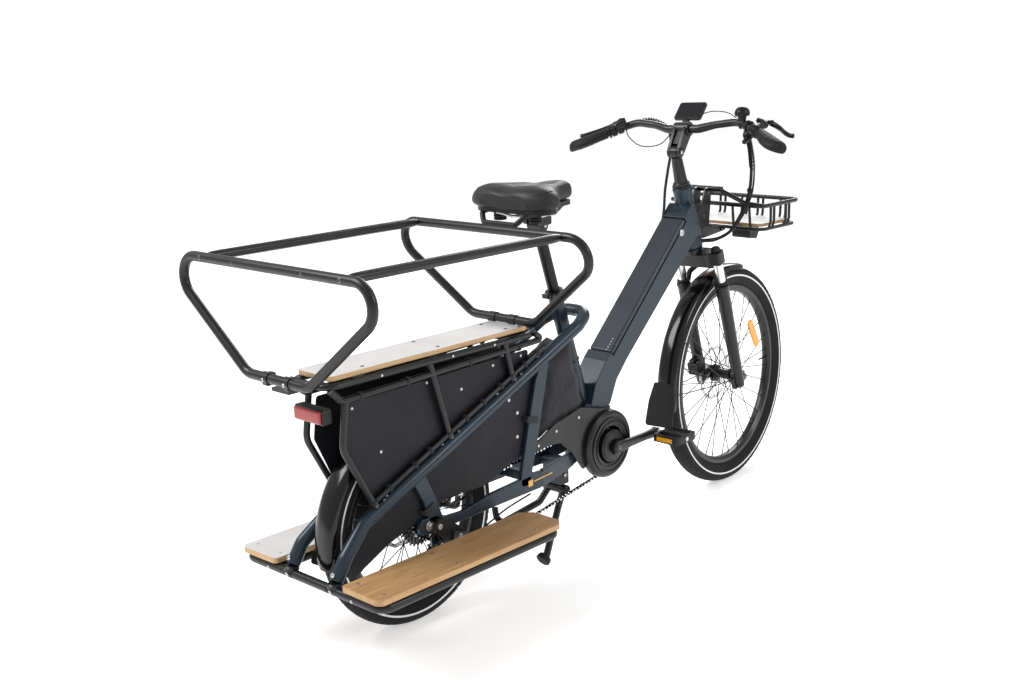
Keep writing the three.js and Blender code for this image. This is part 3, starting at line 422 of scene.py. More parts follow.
def finish(name, color, rough, metal=0.0, grain=900.0, depth=0.15, vary=0.12, coat=0.0,
           rough_vary=0.08, patch=9.0, stretch=(1, 1, 1), specular=0.5):
    """A coated or moulded surface: slight tone patches, uneven gloss and fine grain."""
    m = Maker(name)
    tone = m.noise(patch, 5.0)
    fine = m.noise(grain, 3.0, 0.6, stretch)
    both = m.math("MULTIPLY_ADD", tone, 0.6, m.math("MULTIPLY", fine, 0.4))
    stops = [(0.3, shade(color, 1 - vary)), (0.5, color), (0.7, shade(color, 1 + vary))]
    m.put(m.shader, {"Base Color": m.ramp(both, stops),
                     "Roughness": m.spread(tone, rough - rough_vary, rough + rough_vary),
                     "Metallic": metal, "Specular IOR Level": specular,
                     "Coat Weight": coat, "Coat Roughness": 0.12})
    m.bump(fine, depth, 0.0004)
    return m.material


def bamboo(name, pale, dark, top=None):
    """Laminated bamboo strips with grain along the board; faces that look up may get a painted pale sheen,
    light painted into the colour.
    """
    m = Maker(name)
    strips = {"Vector": m.coords(turn=(0, 0, math.pi / 2)), "Scale": 1.0, "Brick Width": 0.31,
              "Row Height": 0.019, "Mortar Size": 0.0005, "Mortar Smooth": 0.4,
              "Color1": (*pale, 1), "Color2": (*shade(pale, 0.86), 1), "Mortar": (*shade(dark, 0.75), 1)}
    brick = m.node("TexBrick", strips, offset=0.37).outputs["Color"]
    grain = m.noise(1.0, 6.0, 0.62, (420, 9, 420))
    streak = m.noise(1.0, 3.0, 0.5, (60, 5, 60))
    fibres = m.ramp(grain, [(0.35, shade(dark, 1.15)), (0.5, (0.9, 0.87, 0.83)), (0.65, (1, 1, 1))])
    bands = m.ramp(streak, [(0.3, (0.78, 0.72, 0.66)), (0.7, (1, 1, 1))])
    color = m.mix(0.5, m.mix(0.75, brick, fibres, "MULTIPLY"), bands, "MULTIPLY")
    # Painted sheen: faces that look up are blended towards a pale colour, which stands in for light on the
    # top of the board
    if top:
        normal = m.node("NewGeometry", {}).outputs["Normal"]
        upward = m.node("SeparateXYZ", {0: normal}).outputs["Z"]
        painted_top_sheen = m.ramp(m.noise(7.0, 3.0), [(0.35, shade(top, 0.88)), (0.65, top)])
        color = m.mix(m.spread(upward, 0.0, 1.0, 0.75, 0.97), color, painted_top_sheen)
    m.put(m.shader, {"Base Color": color, "Roughness": m.spread(streak, 0.42, 0.56),
                     "Coat Weight": 0.15, "Coat Roughness": 0.3})
    m.bump(grain, 0.25, 0.0003)
    return m.material


def woven(name, color, count):
    """Coated fabric: a fine over-and-under weave with soft creases."""
    m = Maker(name)
    waves = [m.node("TexWave", {"Vector": m.coords(), "Scale": count / 6.28, "Distortion": 0.4},
                    bands_direction=direction).outputs["Fac"] for direction in ("Y", "Z")]
    weave = m.math("MULTIPLY", *waves)
    crease = m.noise(14.0, 4.0, 0.6)
    tones = m.ramp(crease, [(0.3, shade(color, 0.75)), (0.7, shade(color, 1.25))])
    m.put(m.shader, {"Base Color": tones, "Roughness": m.spread(crease, 0.6, 0.78), "Sheen Weight": 0.12})
    m.bump(weave, 0.35, 0.0004, m.bump(crease, 0.5, 0.004))
    return m.material


def grained_vinyl(name, color):
    """Vinyl with a leather-like cell pattern."""
    m = Maker(name)
    cells = m.node("TexVoronoi", {"Vector": m.coords(), "Scale": 620.0}, feature="DISTANCE_TO_EDGE")
    tone = m.noise(24.0, 4.0)
    tones = m.ramp(tone, [(0.3, shade(color, 0.8)), (0.7, shade(color, 1.3))])
    m.put(m.shader, {"Base Color": tones, "Roughness": m.spread(tone, 0.42, 0.6)})
    m.bump(cells.outputs["Distance"], 0.5, 0.0005)
    return m.material


BLUE = finish("frame paint", (0.016, 0.030, 0.045), 0.30, 0.15, 2600, 0.08, 0.14, coat=0.15,
              specular=0.35)
BLUE_DARK = finish("battery cover paint", (0.015, 0.022, 0.031), 0.38, 0.3, 2600, 0.08, 0.14,
                   coat=0.35)
BLACK = finish("satin black", (0.0055, 0.006, 0.007), 0.36, 0.0, 1800, 0.12, 0.2, coat=0.12,
               specular=0.4)
ALLOY_BLACK = finish("anodised black", (0.008, 0.008, 0.009), 0.33, 0.3, 2400, 0.1, 0.2,
                     specular=0.4)
GLOSS = finish("gloss black", (0.003, 0.003, 0.0035), 0.16, 0.0, 600, 0.02, 0.2, coat=0.15,
               rough_vary=0.03, specular=0.35)
PLASTIC = finish("moulded plastic", (0.008, 0.0085, 0.0095), 0.42, 0.0, 2200, 0.3, 0.18,
                 specular=0.35)
SHEET = finish("sheet plastic", (0.0075, 0.008, 0.0115), 0.55, 0.0, 1500, 0.2, 0.16, specular=0.3)
TYRE = finish("tyre rubber", (0.007, 0.008, 0.009), 0.7, 0.0, 1300, 0.45, 0.25, specular=0.25)
RUBBER = finish("soft rubber", (0.008, 0.008, 0.009), 0.6, 0.0, 1600, 0.4, 0.2, specular=0.3)
STRIPE = finish("reflective stripe", (0.80, 0.81, 0.82), 0.45, 0.0, 1200, 0.1, 0.06)
STEEL = finish("brushed steel", (0.60, 0.61, 0.63), 0.26, 1.0, 1.0, 0.2, 0.07, patch=20.0,
               stretch=(700, 700, 700))
CHROME = finish("polished steel", (0.72, 0.73, 0.75), 0.14, 1.0, 900, 0.02, 0.05, rough_vary=0.04)
DARK_STEEL = finish("dark steel", (0.16, 0.16, 0.17), 0.32, 0.95, 1500, 0.12, 0.2)
ALLOY = finish("silver alloy", (0.60, 0.61, 0.63), 0.30, 0.95, 1500, 0.08, 0.08)
GOLD = finish("gold accent", (0.70, 0.42, 0.12), 0.42, 0.4, 900, 0.08, 0.1)
RED = finish("red lens", (0.36, 0.010, 0.014), 0.2, 0.0, 700, 0.25, 0.25, coat=0.4)
AMBER = finish("amber reflector", (0.92, 0.40, 0.015), 0.25, 0.0, 420, 0.5, 0.18, coat=0.3)
LENS = finish("clear lens", (0.42, 0.44, 0.47), 0.12, 0.0, 350, 0.5, 0.25, coat=0.6)
SCREEN = finish("display glass", (0.004, 0.005, 0.007), 0.16, 0.0, 300, 0.0, 0.15, coat=0.1,
                specular=0.35)
SPOKE = finish("spoke black", (0.012, 0.012, 0.014), 0.34, 0.5, 1500, 0.05, 0.15)
STRAP = woven("strap webbing", (0.006, 0.006, 0.007), 1400.0)
BAG = woven("bag fabric", (0.007, 0.0075, 0.011), 1100.0)
VINYL = grained_vinyl("saddle vinyl", (0.007, 0.0075, 0.009))
WOOD = bamboo("bamboo", (0.66, 0.41, 0.19), (0.52, 0.33, 0.18))
# A slightly lighter copy of the bamboo whose up-facing faces get a painted pale sheen
WOOD_SHEEN_TOP = bamboo("bamboo with painted top sheen", (0.70, 0.47, 0.25), (0.55, 0.39, 0.24), (0.76, 0.745, 0.735))
RIVET = finish("rivet", (0.72, 0.72, 0.71), 0.35, 0.1, 900, 0.05, 0.05)
GUARD_METAL = finish("guard stay", (0.03, 0.03, 0.035), 0.3, 0.8, 900, 0.05, 0.1)
CABLE = finish("cable housing", (0.006, 0.006, 0.007), 0.42, 0.0, 1500, 0.2, 0.2, specular=0.35)

# The slot groups of the materials: make() looks a piece's slot up from its first material, unless its call
# names one, but does not store it.
SLOT_GROUPS = {
    "frame_paint": (BLUE, BLUE_DARK, GOLD),
    "black_paint": (BLACK, ALLOY_BLACK, SPOKE),
    "black_plastic": (PLASTIC, LENS, SCREEN),
    "steel": (STEEL, CHROME, DARK_STEEL, ALLOY, RIVET, GUARD_METAL),
    "gloss_black": (GLOSS,),
    "panel_sheet": (SHEET,),
    "tyre": (TYRE,),
    "rubber": (RUBBER, CABLE),
    "red_lens": (RED, AMBER),
    "bag_fabric": (STRAP, BAG),
    "vinyl": (VINYL,),
    "bamboo": (WOOD, WOOD_SHEEN_TOP),
}
SLOT_OF = {material.name: slot for slot, group in SLOT_GROUPS.items() for material in group}


# ------------------------------------------------------------------ pieces
def mesh_of(name, shape, materials=(), steered=False):
    """The shape as a mesh in scene metres, with its faces turned outwards."""
    points = np.concatenate(shape.points)
    if steered:
        points = turned_by_steering(points)
    mesh = bpy.data.meshes.new(name)
    mesh.from_pydata([tuple(p) for p in to_scene(points)], [], shape.faces)
    for m in materials:
        mesh.materials.append(m)
    mesh.polygons.foreach_set("material_index", shape.kinds)
    mesh.update()
    outward = bmesh.new()
    outward.from_mesh(mesh)
    bmesh.ops.recalc_face_normals(outward, faces=outward.faces)
    outward.to_mesh(mesh)
    outward.free()
    return mesh


def placed(name, data):
    """A new object in the scene."""
    obj = bpy.data.objects.new(name, data)
    bpy.context.scene.collection.objects.link(obj)
    return obj


def smooth_faces(mesh, angle=None):
    """Smooth shading, with sharp edges above an angle where one is given."""
    mesh.polygons.foreach_set("use_smooth", [True] * len(mesh.polygons))
    if angle:
        mesh.set_sharp_from_angle(angle=math.radians(angle))


def evaluated(obj):
    """A new mesh with the modifiers of a piece applied."""
    bpy.context.view_layer.update()
    graph = bpy.context.evaluated_depsgraph_get()
    return bpy.data.meshes.new_from_object(obj.evaluated_get(graph))


def make(name, shape, materials, body="frame", nodes=(), slot=None, steered=None, bevel=0.0,
         angle=SHARP_ANGLE, ride=True):
    """One piece of the bicycle as a mesh object, moving with its CAD body."""
    if steered is None:
        steered = body in STEERED_BODIES
    mesh = mesh_of(name, shape, materials, steered)
    smooth_faces(mesh, angle)
    obj = placed(name, mesh)
    if bevel:
        edge = obj.modifiers.new("edge", "BEVEL")
        edge.width = bevel * 0.001
        edge.segments = 3
        edge.limit_method = "ANGLE"
        edge.angle_limit = math.radians(30)
        edge.harden_normals = True
    if ride:
        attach(obj, body)
    slot or SLOT_OF[materials[0].name]
    if nodes:
        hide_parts(*nodes)
    return obj


def carve(obj, *cutters):
    """Cuts the shapes out of a piece, ahead of its bevel, and keeps the result as its mesh."""
    later = list(obj.modifiers)
    for m in later:
        m.show_viewport = False
    tools = [placed("cutter", mesh_of("cutter", shape)) for shape in cutters]
    cuts = []
    for tool in tools:
        cut = obj.modifiers.new("cut", "BOOLEAN")
        cut.object = tool
        cut.solver = "EXACT"
        cuts.append(cut)
    obj.data = evaluated(obj)
    for cut in cuts:
        obj.modifiers.remove(cut)
    for m in later:
        m.show_viewport = True
    smooth_faces(obj.data, SHARP_ANGLE)
    for tool in tools:
        bpy.data.objects.remove(tool)


def corners_of(mesh):
    """The places of a mesh's vertices, one row each."""
    places = np.empty(len(mesh.vertices) * 3)
    mesh.vertices.foreach_get("co", places)
    return places.reshape(-1, 3)


def inflate(obj, voxel, limit, relax):
    """Fills a cover with air for a moment, so its faces bulge and crease like a stuffed one."""
    obj.modifiers.clear()
    remesh = obj.modifiers.new("even", "REMESH")
    remesh.mode = "VOXEL"
    remesh.voxel_size = voxel
    even = evaluated(obj)
    obj.modifiers.clear()
    obj.data = even
    start = corners_of(even)
    scene = bpy.context.scene
    cloth = obj.modifiers.new("air", "CLOTH")
    cloth.settings.use_pressure = True
    cloth.settings.uniform_pressure_force = AIR_PRESSURE
    cloth.settings.effector_weights.gravity = 0.0
    cloth.settings.quality = 5
    cloth.settings.tension_stiffness = 20
    cloth.settings.compression_stiffness = 20
    cloth.settings.bending_stiffness = 1.0
    cloth.collision_settings.use_collision = False
    cloth.point_cache.frame_end = AIR_FRAMES
    for frame_number in range(1, AIR_FRAMES + 1):
        scene.frame_set(frame_number)
    graph = bpy.context.evaluated_depsgraph_get()
    shift = corners_of(obj.evaluated_get(graph).to_mesh()) - start
    obj.modifiers.clear()
    scene.frame_set(1)
    length = np.linalg.norm(shift, axis=1, keepdims=True)
    shift *= np.minimum(1.0, limit / np.maximum(length, 1e-9))
    even.vertices.foreach_set("co", (start + shift).ravel())
    even.update()
    smooth_faces(even)
    soft = obj.modifiers.new("relax", "SMOOTH")
    soft.factor = 0.5
    soft.iterations = relax
    smooth = obj.modifiers.new("smooth", "SUBSURF")
    smooth.levels = smooth.render_levels = 1


def on_surface(obj, path, lift=0.0003):
    """Moves each point of a line in bicycle millimetres onto the surface of a piece."""
    out = []
    for p in path:
        _, spot, normal, _ = obj.closest_point_on_mesh(Vector(to_scene(p)))
        out.append(np.array(spot + normal * lift) * 1000 + vec(0, ORIGIN_Y, 0))
    return out


# ---- main frame
TUBE_LOW, TUBE_HIGH = (700, 512), (1105, 905)
EDGE = unit(vec(TUBE_HIGH[0] - TUBE_LOW[0], TUBE_HIGH[1] - TUBE_LOW[1], 0))[:2]


def on_tube(s, n):
    """A point on the side view of the down tube: s along its top edge, n off it."""
    return (TUBE_LOW[0] + EDGE[0] * s - EDGE[1] * n, TUBE_LOW[1] + EDGE[1] * s + EDGE[0] * n)


def tube_region(s0, s1, n0, n1, half):
    return prism([on_tube(s0, n0), on_tube(s1, n0), on_tube(s1, n1), on_tube(s0, n1)], -half, half)


def build_main_frame():
    belly = [(1152, 792), (1124, 802), (792, 500), (747, 452), (716, 386)]
    outline = fillet2d([TUBE_HIGH, *belly, (630, 386), (655, 455), TUBE_LOW], 14, 4)
    tube = Shape().add(prism(outline, -40, 40))
    body = make("down_tube", tube, [BLUE], nodes=["front_frame"], bevel=9)
    bay = Shape().add(tube_region(29.4, 499.6, -16.6, 40, 60))
    well = Shape().add(tube_region(50, 480, -60, 40, 30))
    carve(body, bay, well)
    rest = Shape()
    rest.add(spin([(26, 2), (28.5, -1), (28.5, -10), (27.5, -14), (27.5, -150), (30, -158),
                   (30.5, -184), (28, -187)], HEAD_TOP, STEER_AXIS, 48))
    rest.add(rod(seat_at(-4), seat_at(-345), 19.5, sides=40))
    gusset = fillet2d([(1098, 880), (1128, 868), (1160, 768), (1120, 790), (1060, 800)], 8, 3)
    rest.add(prism(gusset, -24, 24))
    make("head_and_seat_tube", rest, [BLUE], bevel=1.5)
    headset = Shape()
    for d, r in ((2, 27), (-HEAD_LENGTH - 7, 28)):
        start = HEAD_TOP + STEER_AXIS * d
        headset.add(spin([(r - 6, -1), (r, 0.5), (r, 5), (r - 3, 6.5)], start, STEER_AXIS, 40))
    make("headset", headset, [ALLOY_BLACK])
    leds = Shape()
    for k in range(5):
        y, z = on_tube(36 + 9 * k, 0.1)
        leds.add(dome((22, y, z), (0, -EDGE[1], EDGE[0]), 2.0, 0.8))
    make("charge_lights", leds, [RIVET], body="battery")
    lock = Shape()
    lock.add(spin([(10, 0), (10, 2), (8.5, 3), (7, 3), (6.5, 1.6), (2.2, 1.6), (2.0, 1.0)],
                  (40, 1045, 819), ACROSS, 28))
    make("battery_lock", lock, [ALLOY])
    welds = Shape()
    bead = [(19.6, -3), (20.5, -3), (22.6, 0), (20.5, 3), (19.6, 3)]
    welds.add(spin(bead, seat_at(-205), SEAT_AXIS, 32, closed=True))
    make("weld_beads", welds, [BLUE])


def build_battery():
    outline = [on_tube(30.6, -16), on_tube(498.4, -16), on_tube(498.4, 0), on_tube(30.6, 0)]
    lid = Shape().add(prism(outline, -39.6, 39.6))
    make("battery_cover", lid, [BLUE_DARK], body="battery", nodes=["battery"], bevel=7)
    pack = Shape().add(tube_region(53, 477, -57, -14, 27.5))
    for s in (120, 265, 410):
        pack.add(tube_region(s, s + 4, -57.6, -20, 28.4))
    make("battery_pack", pack, [PLASTIC], body="battery", bevel=4)


def build_motor():
    drum = Shape()
    drum.add(spin([(30, -61), (66, -60), (76, -56), (80, -46), (80, 34), (76, 42), (66, 45.5),
                   (30, 46)], MOTOR, ACROSS, 64))
    drum.add(prism(fillet2d([(646, 330), (714, 330), (722, 386), (634, 386)], 8, 3), -36, 36))
    for k in range(7):
        a = math.radians(20 + 51 * k)
        spot = (-60, MOTOR[1] + 64 * math.cos(a), MOTOR[2] + 64 * math.sin(a))
        drum.add(bolt(spot, (-1, 0, 0), 5, 3), 1)
    drum.add(spin([(50, -61), (50, -64), (46, -65.5), (20, -65.5)], MOTOR, ACROSS, 48))
    make("motor", drum, [PLASTIC, DARK_STEEL], nodes=["motor_housing"], bevel=1.2)


def build_rails():
    half = [(78, -291, 218), (77, -262, 262), (63, -190, rail_z(-190)), (63, 560, rail_z(560)),
            (44, 618, 664)]
    left = [(-x, y, z) for x, y, z in reversed(half)]
    rails = Shape().add(sweep(bend(half + left, 46, 10), RAIL_R, 28))
    make("side_rails", rails, [BLUE], nodes=["side_rails"], bevel=2)
    fixings = Shape()
    for s in (1, -1):
        fixings.add(bolt((s * 79, -300, 236), (0, -1, 0.2), 6, 4))
        for y in (-120, 60, 250, 400):
            top = (s * RAIL_X, y, rail_z(y) + RAIL_R - 0.4)
            fixings.add(bolt(top, (0, -0.39, 0.92), 4.5, 3))
    make("rail_bolts", fixings, [ALLOY])


def build_stays():
    stay = fillet2d([(402, 289), (357, 287), (213, 278), (108, 262), (47, 266), (20, 280),
                     (-28, 278), (-33, 244), (20, 233), (62, 238), (211, 241), (402, 243)], 10, 3)
    strut = fillet2d([(352, 262), (361, 295), (389, 389), (423, 525), (438, 582), (400, 566),
                      (383, 533), (348, 405), (323, 305), (316, 262)], 12, 3)
    rear = fillet2d([(47, 262), (21, 330), (-8, 392), (-44, 376), (-14, 321), (2, 262)], 8, 3)
    shape = Shape()
    for outline in (stay, strut, rear):
        shape.both(prism(outline, STAY_IN, STAY_OUT))
    points, faces = prism([(0, 243), (0, 289), (120, 294), (240, 318), (240, 276), (120, 250)],
                          STAY_IN, STAY_OUT)
    points = np.array(points, float)
    points[:, 0] -= 0.17 * points[:, 1]
    points[:, 1] += 400
    shape.both((points, faces))
    shape.add(block(-66, 66, 380, 400, 252, 278))
    shape.add(block(-46, 46, 510, 550, 254, 276))
    make("stays", shape, [BLUE], nodes=["stays"], bevel=3.2)
    mount = Shape().add(block(-32, 32, 514, 546, 206, 258))
    for x in (-33, 33):
        mount.add(bolt((x, 530, 232), (math.copysign(1, x), 0, 0), 6, 4), 1)
    make("stand_mount", mount, [BLACK, STEEL], bevel=3)
    axle = Shape()
    for s in (1, -1):
        end = (s * STAY_OUT, 0, REAR_R)
        axle.add(spin([(9, 0), (9, 6), (6, 8), (3, 8)], end, (s, 0, 0), 6))
        axle.add(spin([(13, 0), (13, 1.6), (9, 2)], end, (s, 0, 0), 24))
    make("rear_axle_nuts", axle, [STEEL])
    gold = Shape()
    gold.add(prism(fillet2d([(345, 257), (362, 258), (361, 275), (344, 274)], 2, 2), 72, 72.5))
    gold.add(prism([(366, 266), (436, 271), (436, 274), (366, 269.4)], 72, 72.4))
    make("stay_accent", gold, [GOLD])
    straps = Shape()
    for s in (1, -1):
        for y, z, w, tilt in ((367, 432, 42, 0.27), (2, 300, 34, -0.42)):
            lean = unit(vec(0, tilt, 1))
            across = unit(np.cross(lean, ACROSS))
            section = rounded_rect(-8.2, 8.2, -w / 2 - 1, w / 2 + 1, 4, 4)
            ring = [vec(s * 66, y, z) + vec(a, 0, 0) + across * b for a, b in section]
            band = [(0.9, -8), (0.9, 8), (-0.9, 8), (-0.9, -8)]
            straps.add(sweep(ring, 1.0, section=band, up=tuple(lean), closed=True))
    make("strut_straps", straps, [STRAP])


# ---- rack, cage and boards
def build_rack():
    rim_z, r, x = 652, 8, 64
    rack = Shape()
    rim = [(x, -268, rim_z), (x, 388, rim_z), (-x, 388, rim_z), (-x, -268, rim_z)]
    rack.add(sweep(bend(rim, 30, 8, closed=True), r, 20, closed=True))

    def foot(y):
        return rail_z(y) + RAIL_R + 6

    for s in (1, -1):
        rack.add(sweep(bend([(s * x, -262, rim_z - 6), (s * x, -232, 615), (s * x, 420, 632),
                             (s * x, 390, rim_z)], 22, 8), r, 18))
        rack.add(sweep(bend([(s * x, -222, 617), (s * x, -238, 507), (s * x, -178, 393),
                             (s * x, -158, foot(-158))], 50, 8), r, 18))
        rack.add(rod((s * x, 30, 648), (s * x, 84, foot(84)), r, sides=18))
        rack.add(rod((s * x, 281, 648), (s * x, 306, foot(306)), r, sides=18))
    for y in (-150, 80, 310):
        rack.add(block(-60, 60, y - 11, y + 11, 648, 661.5))
    rack.add(block(-30, 30, -345, -262, 650, 658))
    rack.add(block(-46, 46, 330, 392, 652, 661.5))
    make("rack", rack, [BLACK], nodes=["rack_frame"], bevel=1.2)
    lower = Shape()
    for s in (1, -1):
        run = [(s * x, y, rail_z(y) + RAIL_R + 12) for y in (-160, 420)]
        lower.add(rod(run[0], run[1], 7, sides=18))
        for y in (-158, 84, 306):
            z = rail_z(y) + RAIL_R
            lower.add(spin([(9, -7), (10.5, -5), (10.5, 9), (9, 11)], (s * x, y, z + 6),
                           (0, -0.39, 0.92), 20))
            lower.add(bolt((s * (x + 9), y, z + 4), (s, 0, 0), 4.5, 3.5), 1)
            lower.add(bolt((s * (x + 9), y + 22, z + 13), (s, 0, 0), 4, 3), 1)
    make("rack_lower_tubes", lower, [BLACK, DARK_STEEL])
    ties = Shape()
    for s in (1, -1):
        along = unit(vec(0, 1, 0.427))
        for y in (-110, -30, 20, 140, 200, 262, 350, 396):
            spot = (s * x, y, rail_z(y) + RAIL_R + 12)
            ties.add(spin([(7.2, -5), (9.2, -4), (9.2, 4), (7.2, 5)], spot, along, 16, closed=True))
        for y, z in ((-180, 620), (-40, 624), (160, 628), (330, 631)):
            ties.add(spin([(8.2, -5), (10, -4), (10, 4), (8.2, 5)], (s * x, y, z - 3), (0, 1, 0.026), 16,
                          closed=True))
    make("panel_ties", ties, [STRAP])
    clamp = Shape()
    clamp.add(block(-52, 52, 352, 374, 674.5, 679))
    clamp.add(block(-50, 50, 340, 352, 675.5, 684))
    for x2 in (-40, 0, 40):
        clamp.add(bolt((x2, 363, 679), UP, 4.5, 3))
    make("deck_clamp", clamp, [ALLOY], bevel=1.2)
    deck_bolts = Shape()
    for y in (-150, 80, 310):
        for x2 in (-42, 42):
            deck_bolts.add(bolt((x2, y, DECK_TOP - 0.4), UP, 5, 1.6))
    make("deck_bolts", deck_bolts, [DARK_STEEL])
    under = Shape()
    for s in (1, -1):
        for y in (-120, 100, 240):
            under.add(dome((s * 72.0, y, 652), (s, 0, 0), 3.0, 1.6))
    make("rack_rivets", under, [RIVET])


def build_boards():
    deck = Shape().add(prism(rounded_rect(-60, 60, -256, 374, 14, 8), 663, DECK_TOP, "z"))
    make("deck", deck, [WOOD_SHEEN_TOP], nodes=["deck_board"], bevel=2.4)
    for s, name, wood in ((1, "right", WOOD), (-1, "left", WOOD_SHEEN_TOP)):
        outline = fillet2d([(s * 118, -312), (s * 236, -314), (s * 250, -302), (s * 249, 262),
                            (s * 228, 285), (s * 144, 285), (s * 116, 256)], 12, 5)
        board = Shape().add(prism(outline, BOARD_TOP - 14, BOARD_TOP, "z"))
        make("footboard_" + name, board, [wood], nodes=["footboard_" + name], bevel=2.4)
        screws = Shape()
        for y in (-280, -60, 200):
            for x in (140, 226):
                screws.add(bolt((s * x, y, BOARD_TOP - 0.6), UP, 4.5, 1.2))
        make("footboard_screws_" + name, screws, [ALLOY])
    frame_part = Shape()
    z, rear = 199, -299
    for s in (1, -1):
        loop = [(s * 60, rear, z), (s * 240, rear, z), (s * 236, 268, z), (s * 136, 268, z),
                (s * 128, rear, z)]
        frame_part.add(sweep(bend(loop, 26, 8), 11, 20))
        frame_part.add(sweep(bend([(s * 66, 226, 236), (s * 70, 226, 206), (s * 140, 226, z)], 24, 6),
                             8, 16))
        for y in (-180, 40):
            frame_part.add(rod((s * 130, y, z), (s * 238, y, z), 7, sides=14))
    frame_part.add(rod((-70, rear, z), (70, rear, z), 11))
    for s in (1, -1):
        frame_part.add(spin([(18, 0), (18, 8), (14, 11)], (s * 78, -296, 206), UP, 24))
        frame_part.add(bolt((s * 78, rear - 11, z), (0, -1, 0), 5, 3.5), 1)
        frame_part.add(bolt((s * 150, rear - 10, z - 2), (0, -1, -0.2), 4, 3), 1)
    make("footboard_frame", frame_part, [BLACK, ALLOY], nodes=["footboard_frame"])


def hoop_path(y, bottom, lean):
    """A hoop that widens upwards; lean moves its foot forwards for each unit of height."""
    tip, foot_y = 107 + 1.3 * (CAGE_Z - bottom), y + lean * (CAGE_Z - bottom)
    return bend([(107, foot_y, bottom), (tip, y, CAGE_Z), (-tip, y, CAGE_Z), (-107, foot_y, bottom)],
                50, 14, closed=True)


def build_cage():
    rear = Shape().add(sweep(hoop_path(HOOP_BACK, 678, 0), HOOP_R, 24, up=(0, 1, 0), closed=True))
    make("rear_hoop", rear, [BLACK], nodes=["rear_hoop"])
    front = Shape().add(sweep(hoop_path(HOOP_FRONT, 690, 0.2), HOOP_R, 24, up=(0, 1, 0), closed=True))
    make("front_hoop", front, [BLACK], nodes=["front_hoop"])
    for s, side in ((1, "right"), (-1, "left")):
        y0, y1 = HOOP_BACK + HOOP_R + 0.6, HOOP_FRONT - HOOP_R - 0.6
        path = [(s * CAGE_X, y, CAGE_Z) for y in (y0, y0 + 12, y0 + 34, y1 - 34, y1 - 12, y1)]
        rail = Shape().add(sweep(path, [8, 10.4, 11, 11, 10.4, 8], 24))
        make("cage_rail_" + side, rail, [BLACK], nodes=["cage_rail_" + side])
    fixings = Shape()
    for s in (1, -1):
        for y, d in ((HOOP_BACK - HOOP_R + 1, -1), (HOOP_FRONT + HOOP_R - 1, 1)):
            fixings.add(bolt((s * CAGE_X, y, CAGE_Z), (0, d, 0), 5.5, 2.2))
        fixings.add(bolt((s * 120, HOOP_BACK - HOOP_R + 0.8, CAGE_Z), (0, -1, 0), 4, 1.4))
    make("cage_bolts", fixings, [DARK_STEEL])
    feet = Shape()
    for s in (1, -1):
        feet.add(sweep([(s * 26, HOOP_BACK, 678), (s * 48, HOOP_BACK, 678)], HOOP_R + 2.2, 24))
        feet.add(prism(fillet2d([(-358, 662), (-330, 662), (-330, 690), (-358, 690)], 5, 3),
                       s * 30, s * 44))
        feet.add(bolt((s * 37, -361, 676), (0, -1, 0), 4.5, 3), 1)
        feet.add(sweep([(s * 22, 348, 690), (s * 46, 348, 690)], HOOP_R + 2.0, 24))
    make("hoop_feet", feet, [BLACK, ALLOY], bevel=1)


def build_panels():
    side = fillet2d([(-212, 604), (-226, 506), (-160, rail_z(-160) + 24), (372, rail_z(372) + 24),
                     (380, 612)], 8, 3)
    rail_edge = rail_z(418) - RAIL_R - 2
    skirt = fillet2d([(-258, 214), (-240, 248), (-190, rail_z(-190) - RAIL_R - 6), (418, rail_edge),
                      (372, 400), (366, 352), (308, 336), (200, 300), (100, 302), (52, 300),
                      (-34, 270), (-118, 246), (-228, 196)], 9, 3)
    for s, name in ((1, "right"), (-1, "left")):
        panel = Shape().add(side_plate(side, s, 50, 53))
        make("side_panel_" + name, panel, [SHEET], nodes=["side_panel_" + name], bevel=0.8)
        sheet = Shape().add(side_plate(skirt, s, 57, 59))
        obj = make("wheel_skirt_" + name, sheet, [SHEET], nodes=["wheel_skirt_" + name], bevel=0.6)
        hole = Shape().add(spin([(17, -70), (17, 70)], (0, 0, REAR_R), ACROSS, 40))
        carve(obj, hole)
        rivets = Shape()
        for y, z in ((-12, 372), (296, 498), (325, 458), (322, 396), (-140, 326), (-238, 240),
                     (120, 300), (402, 548)):
            rivets.add(dome((s * 59, y, z), (s, 0, 0), 4.6, 2.4))
        for y, z in ((-196, 590), (-120, 470), (30, 600), (140, 560), (250, 596), (350, 600)):
            rivets.add(dome((s * 53, y, z), (s, 0, 0), 3.6, 2.0))
        make("panel_rivets_" + name, rivets, [RIVET])


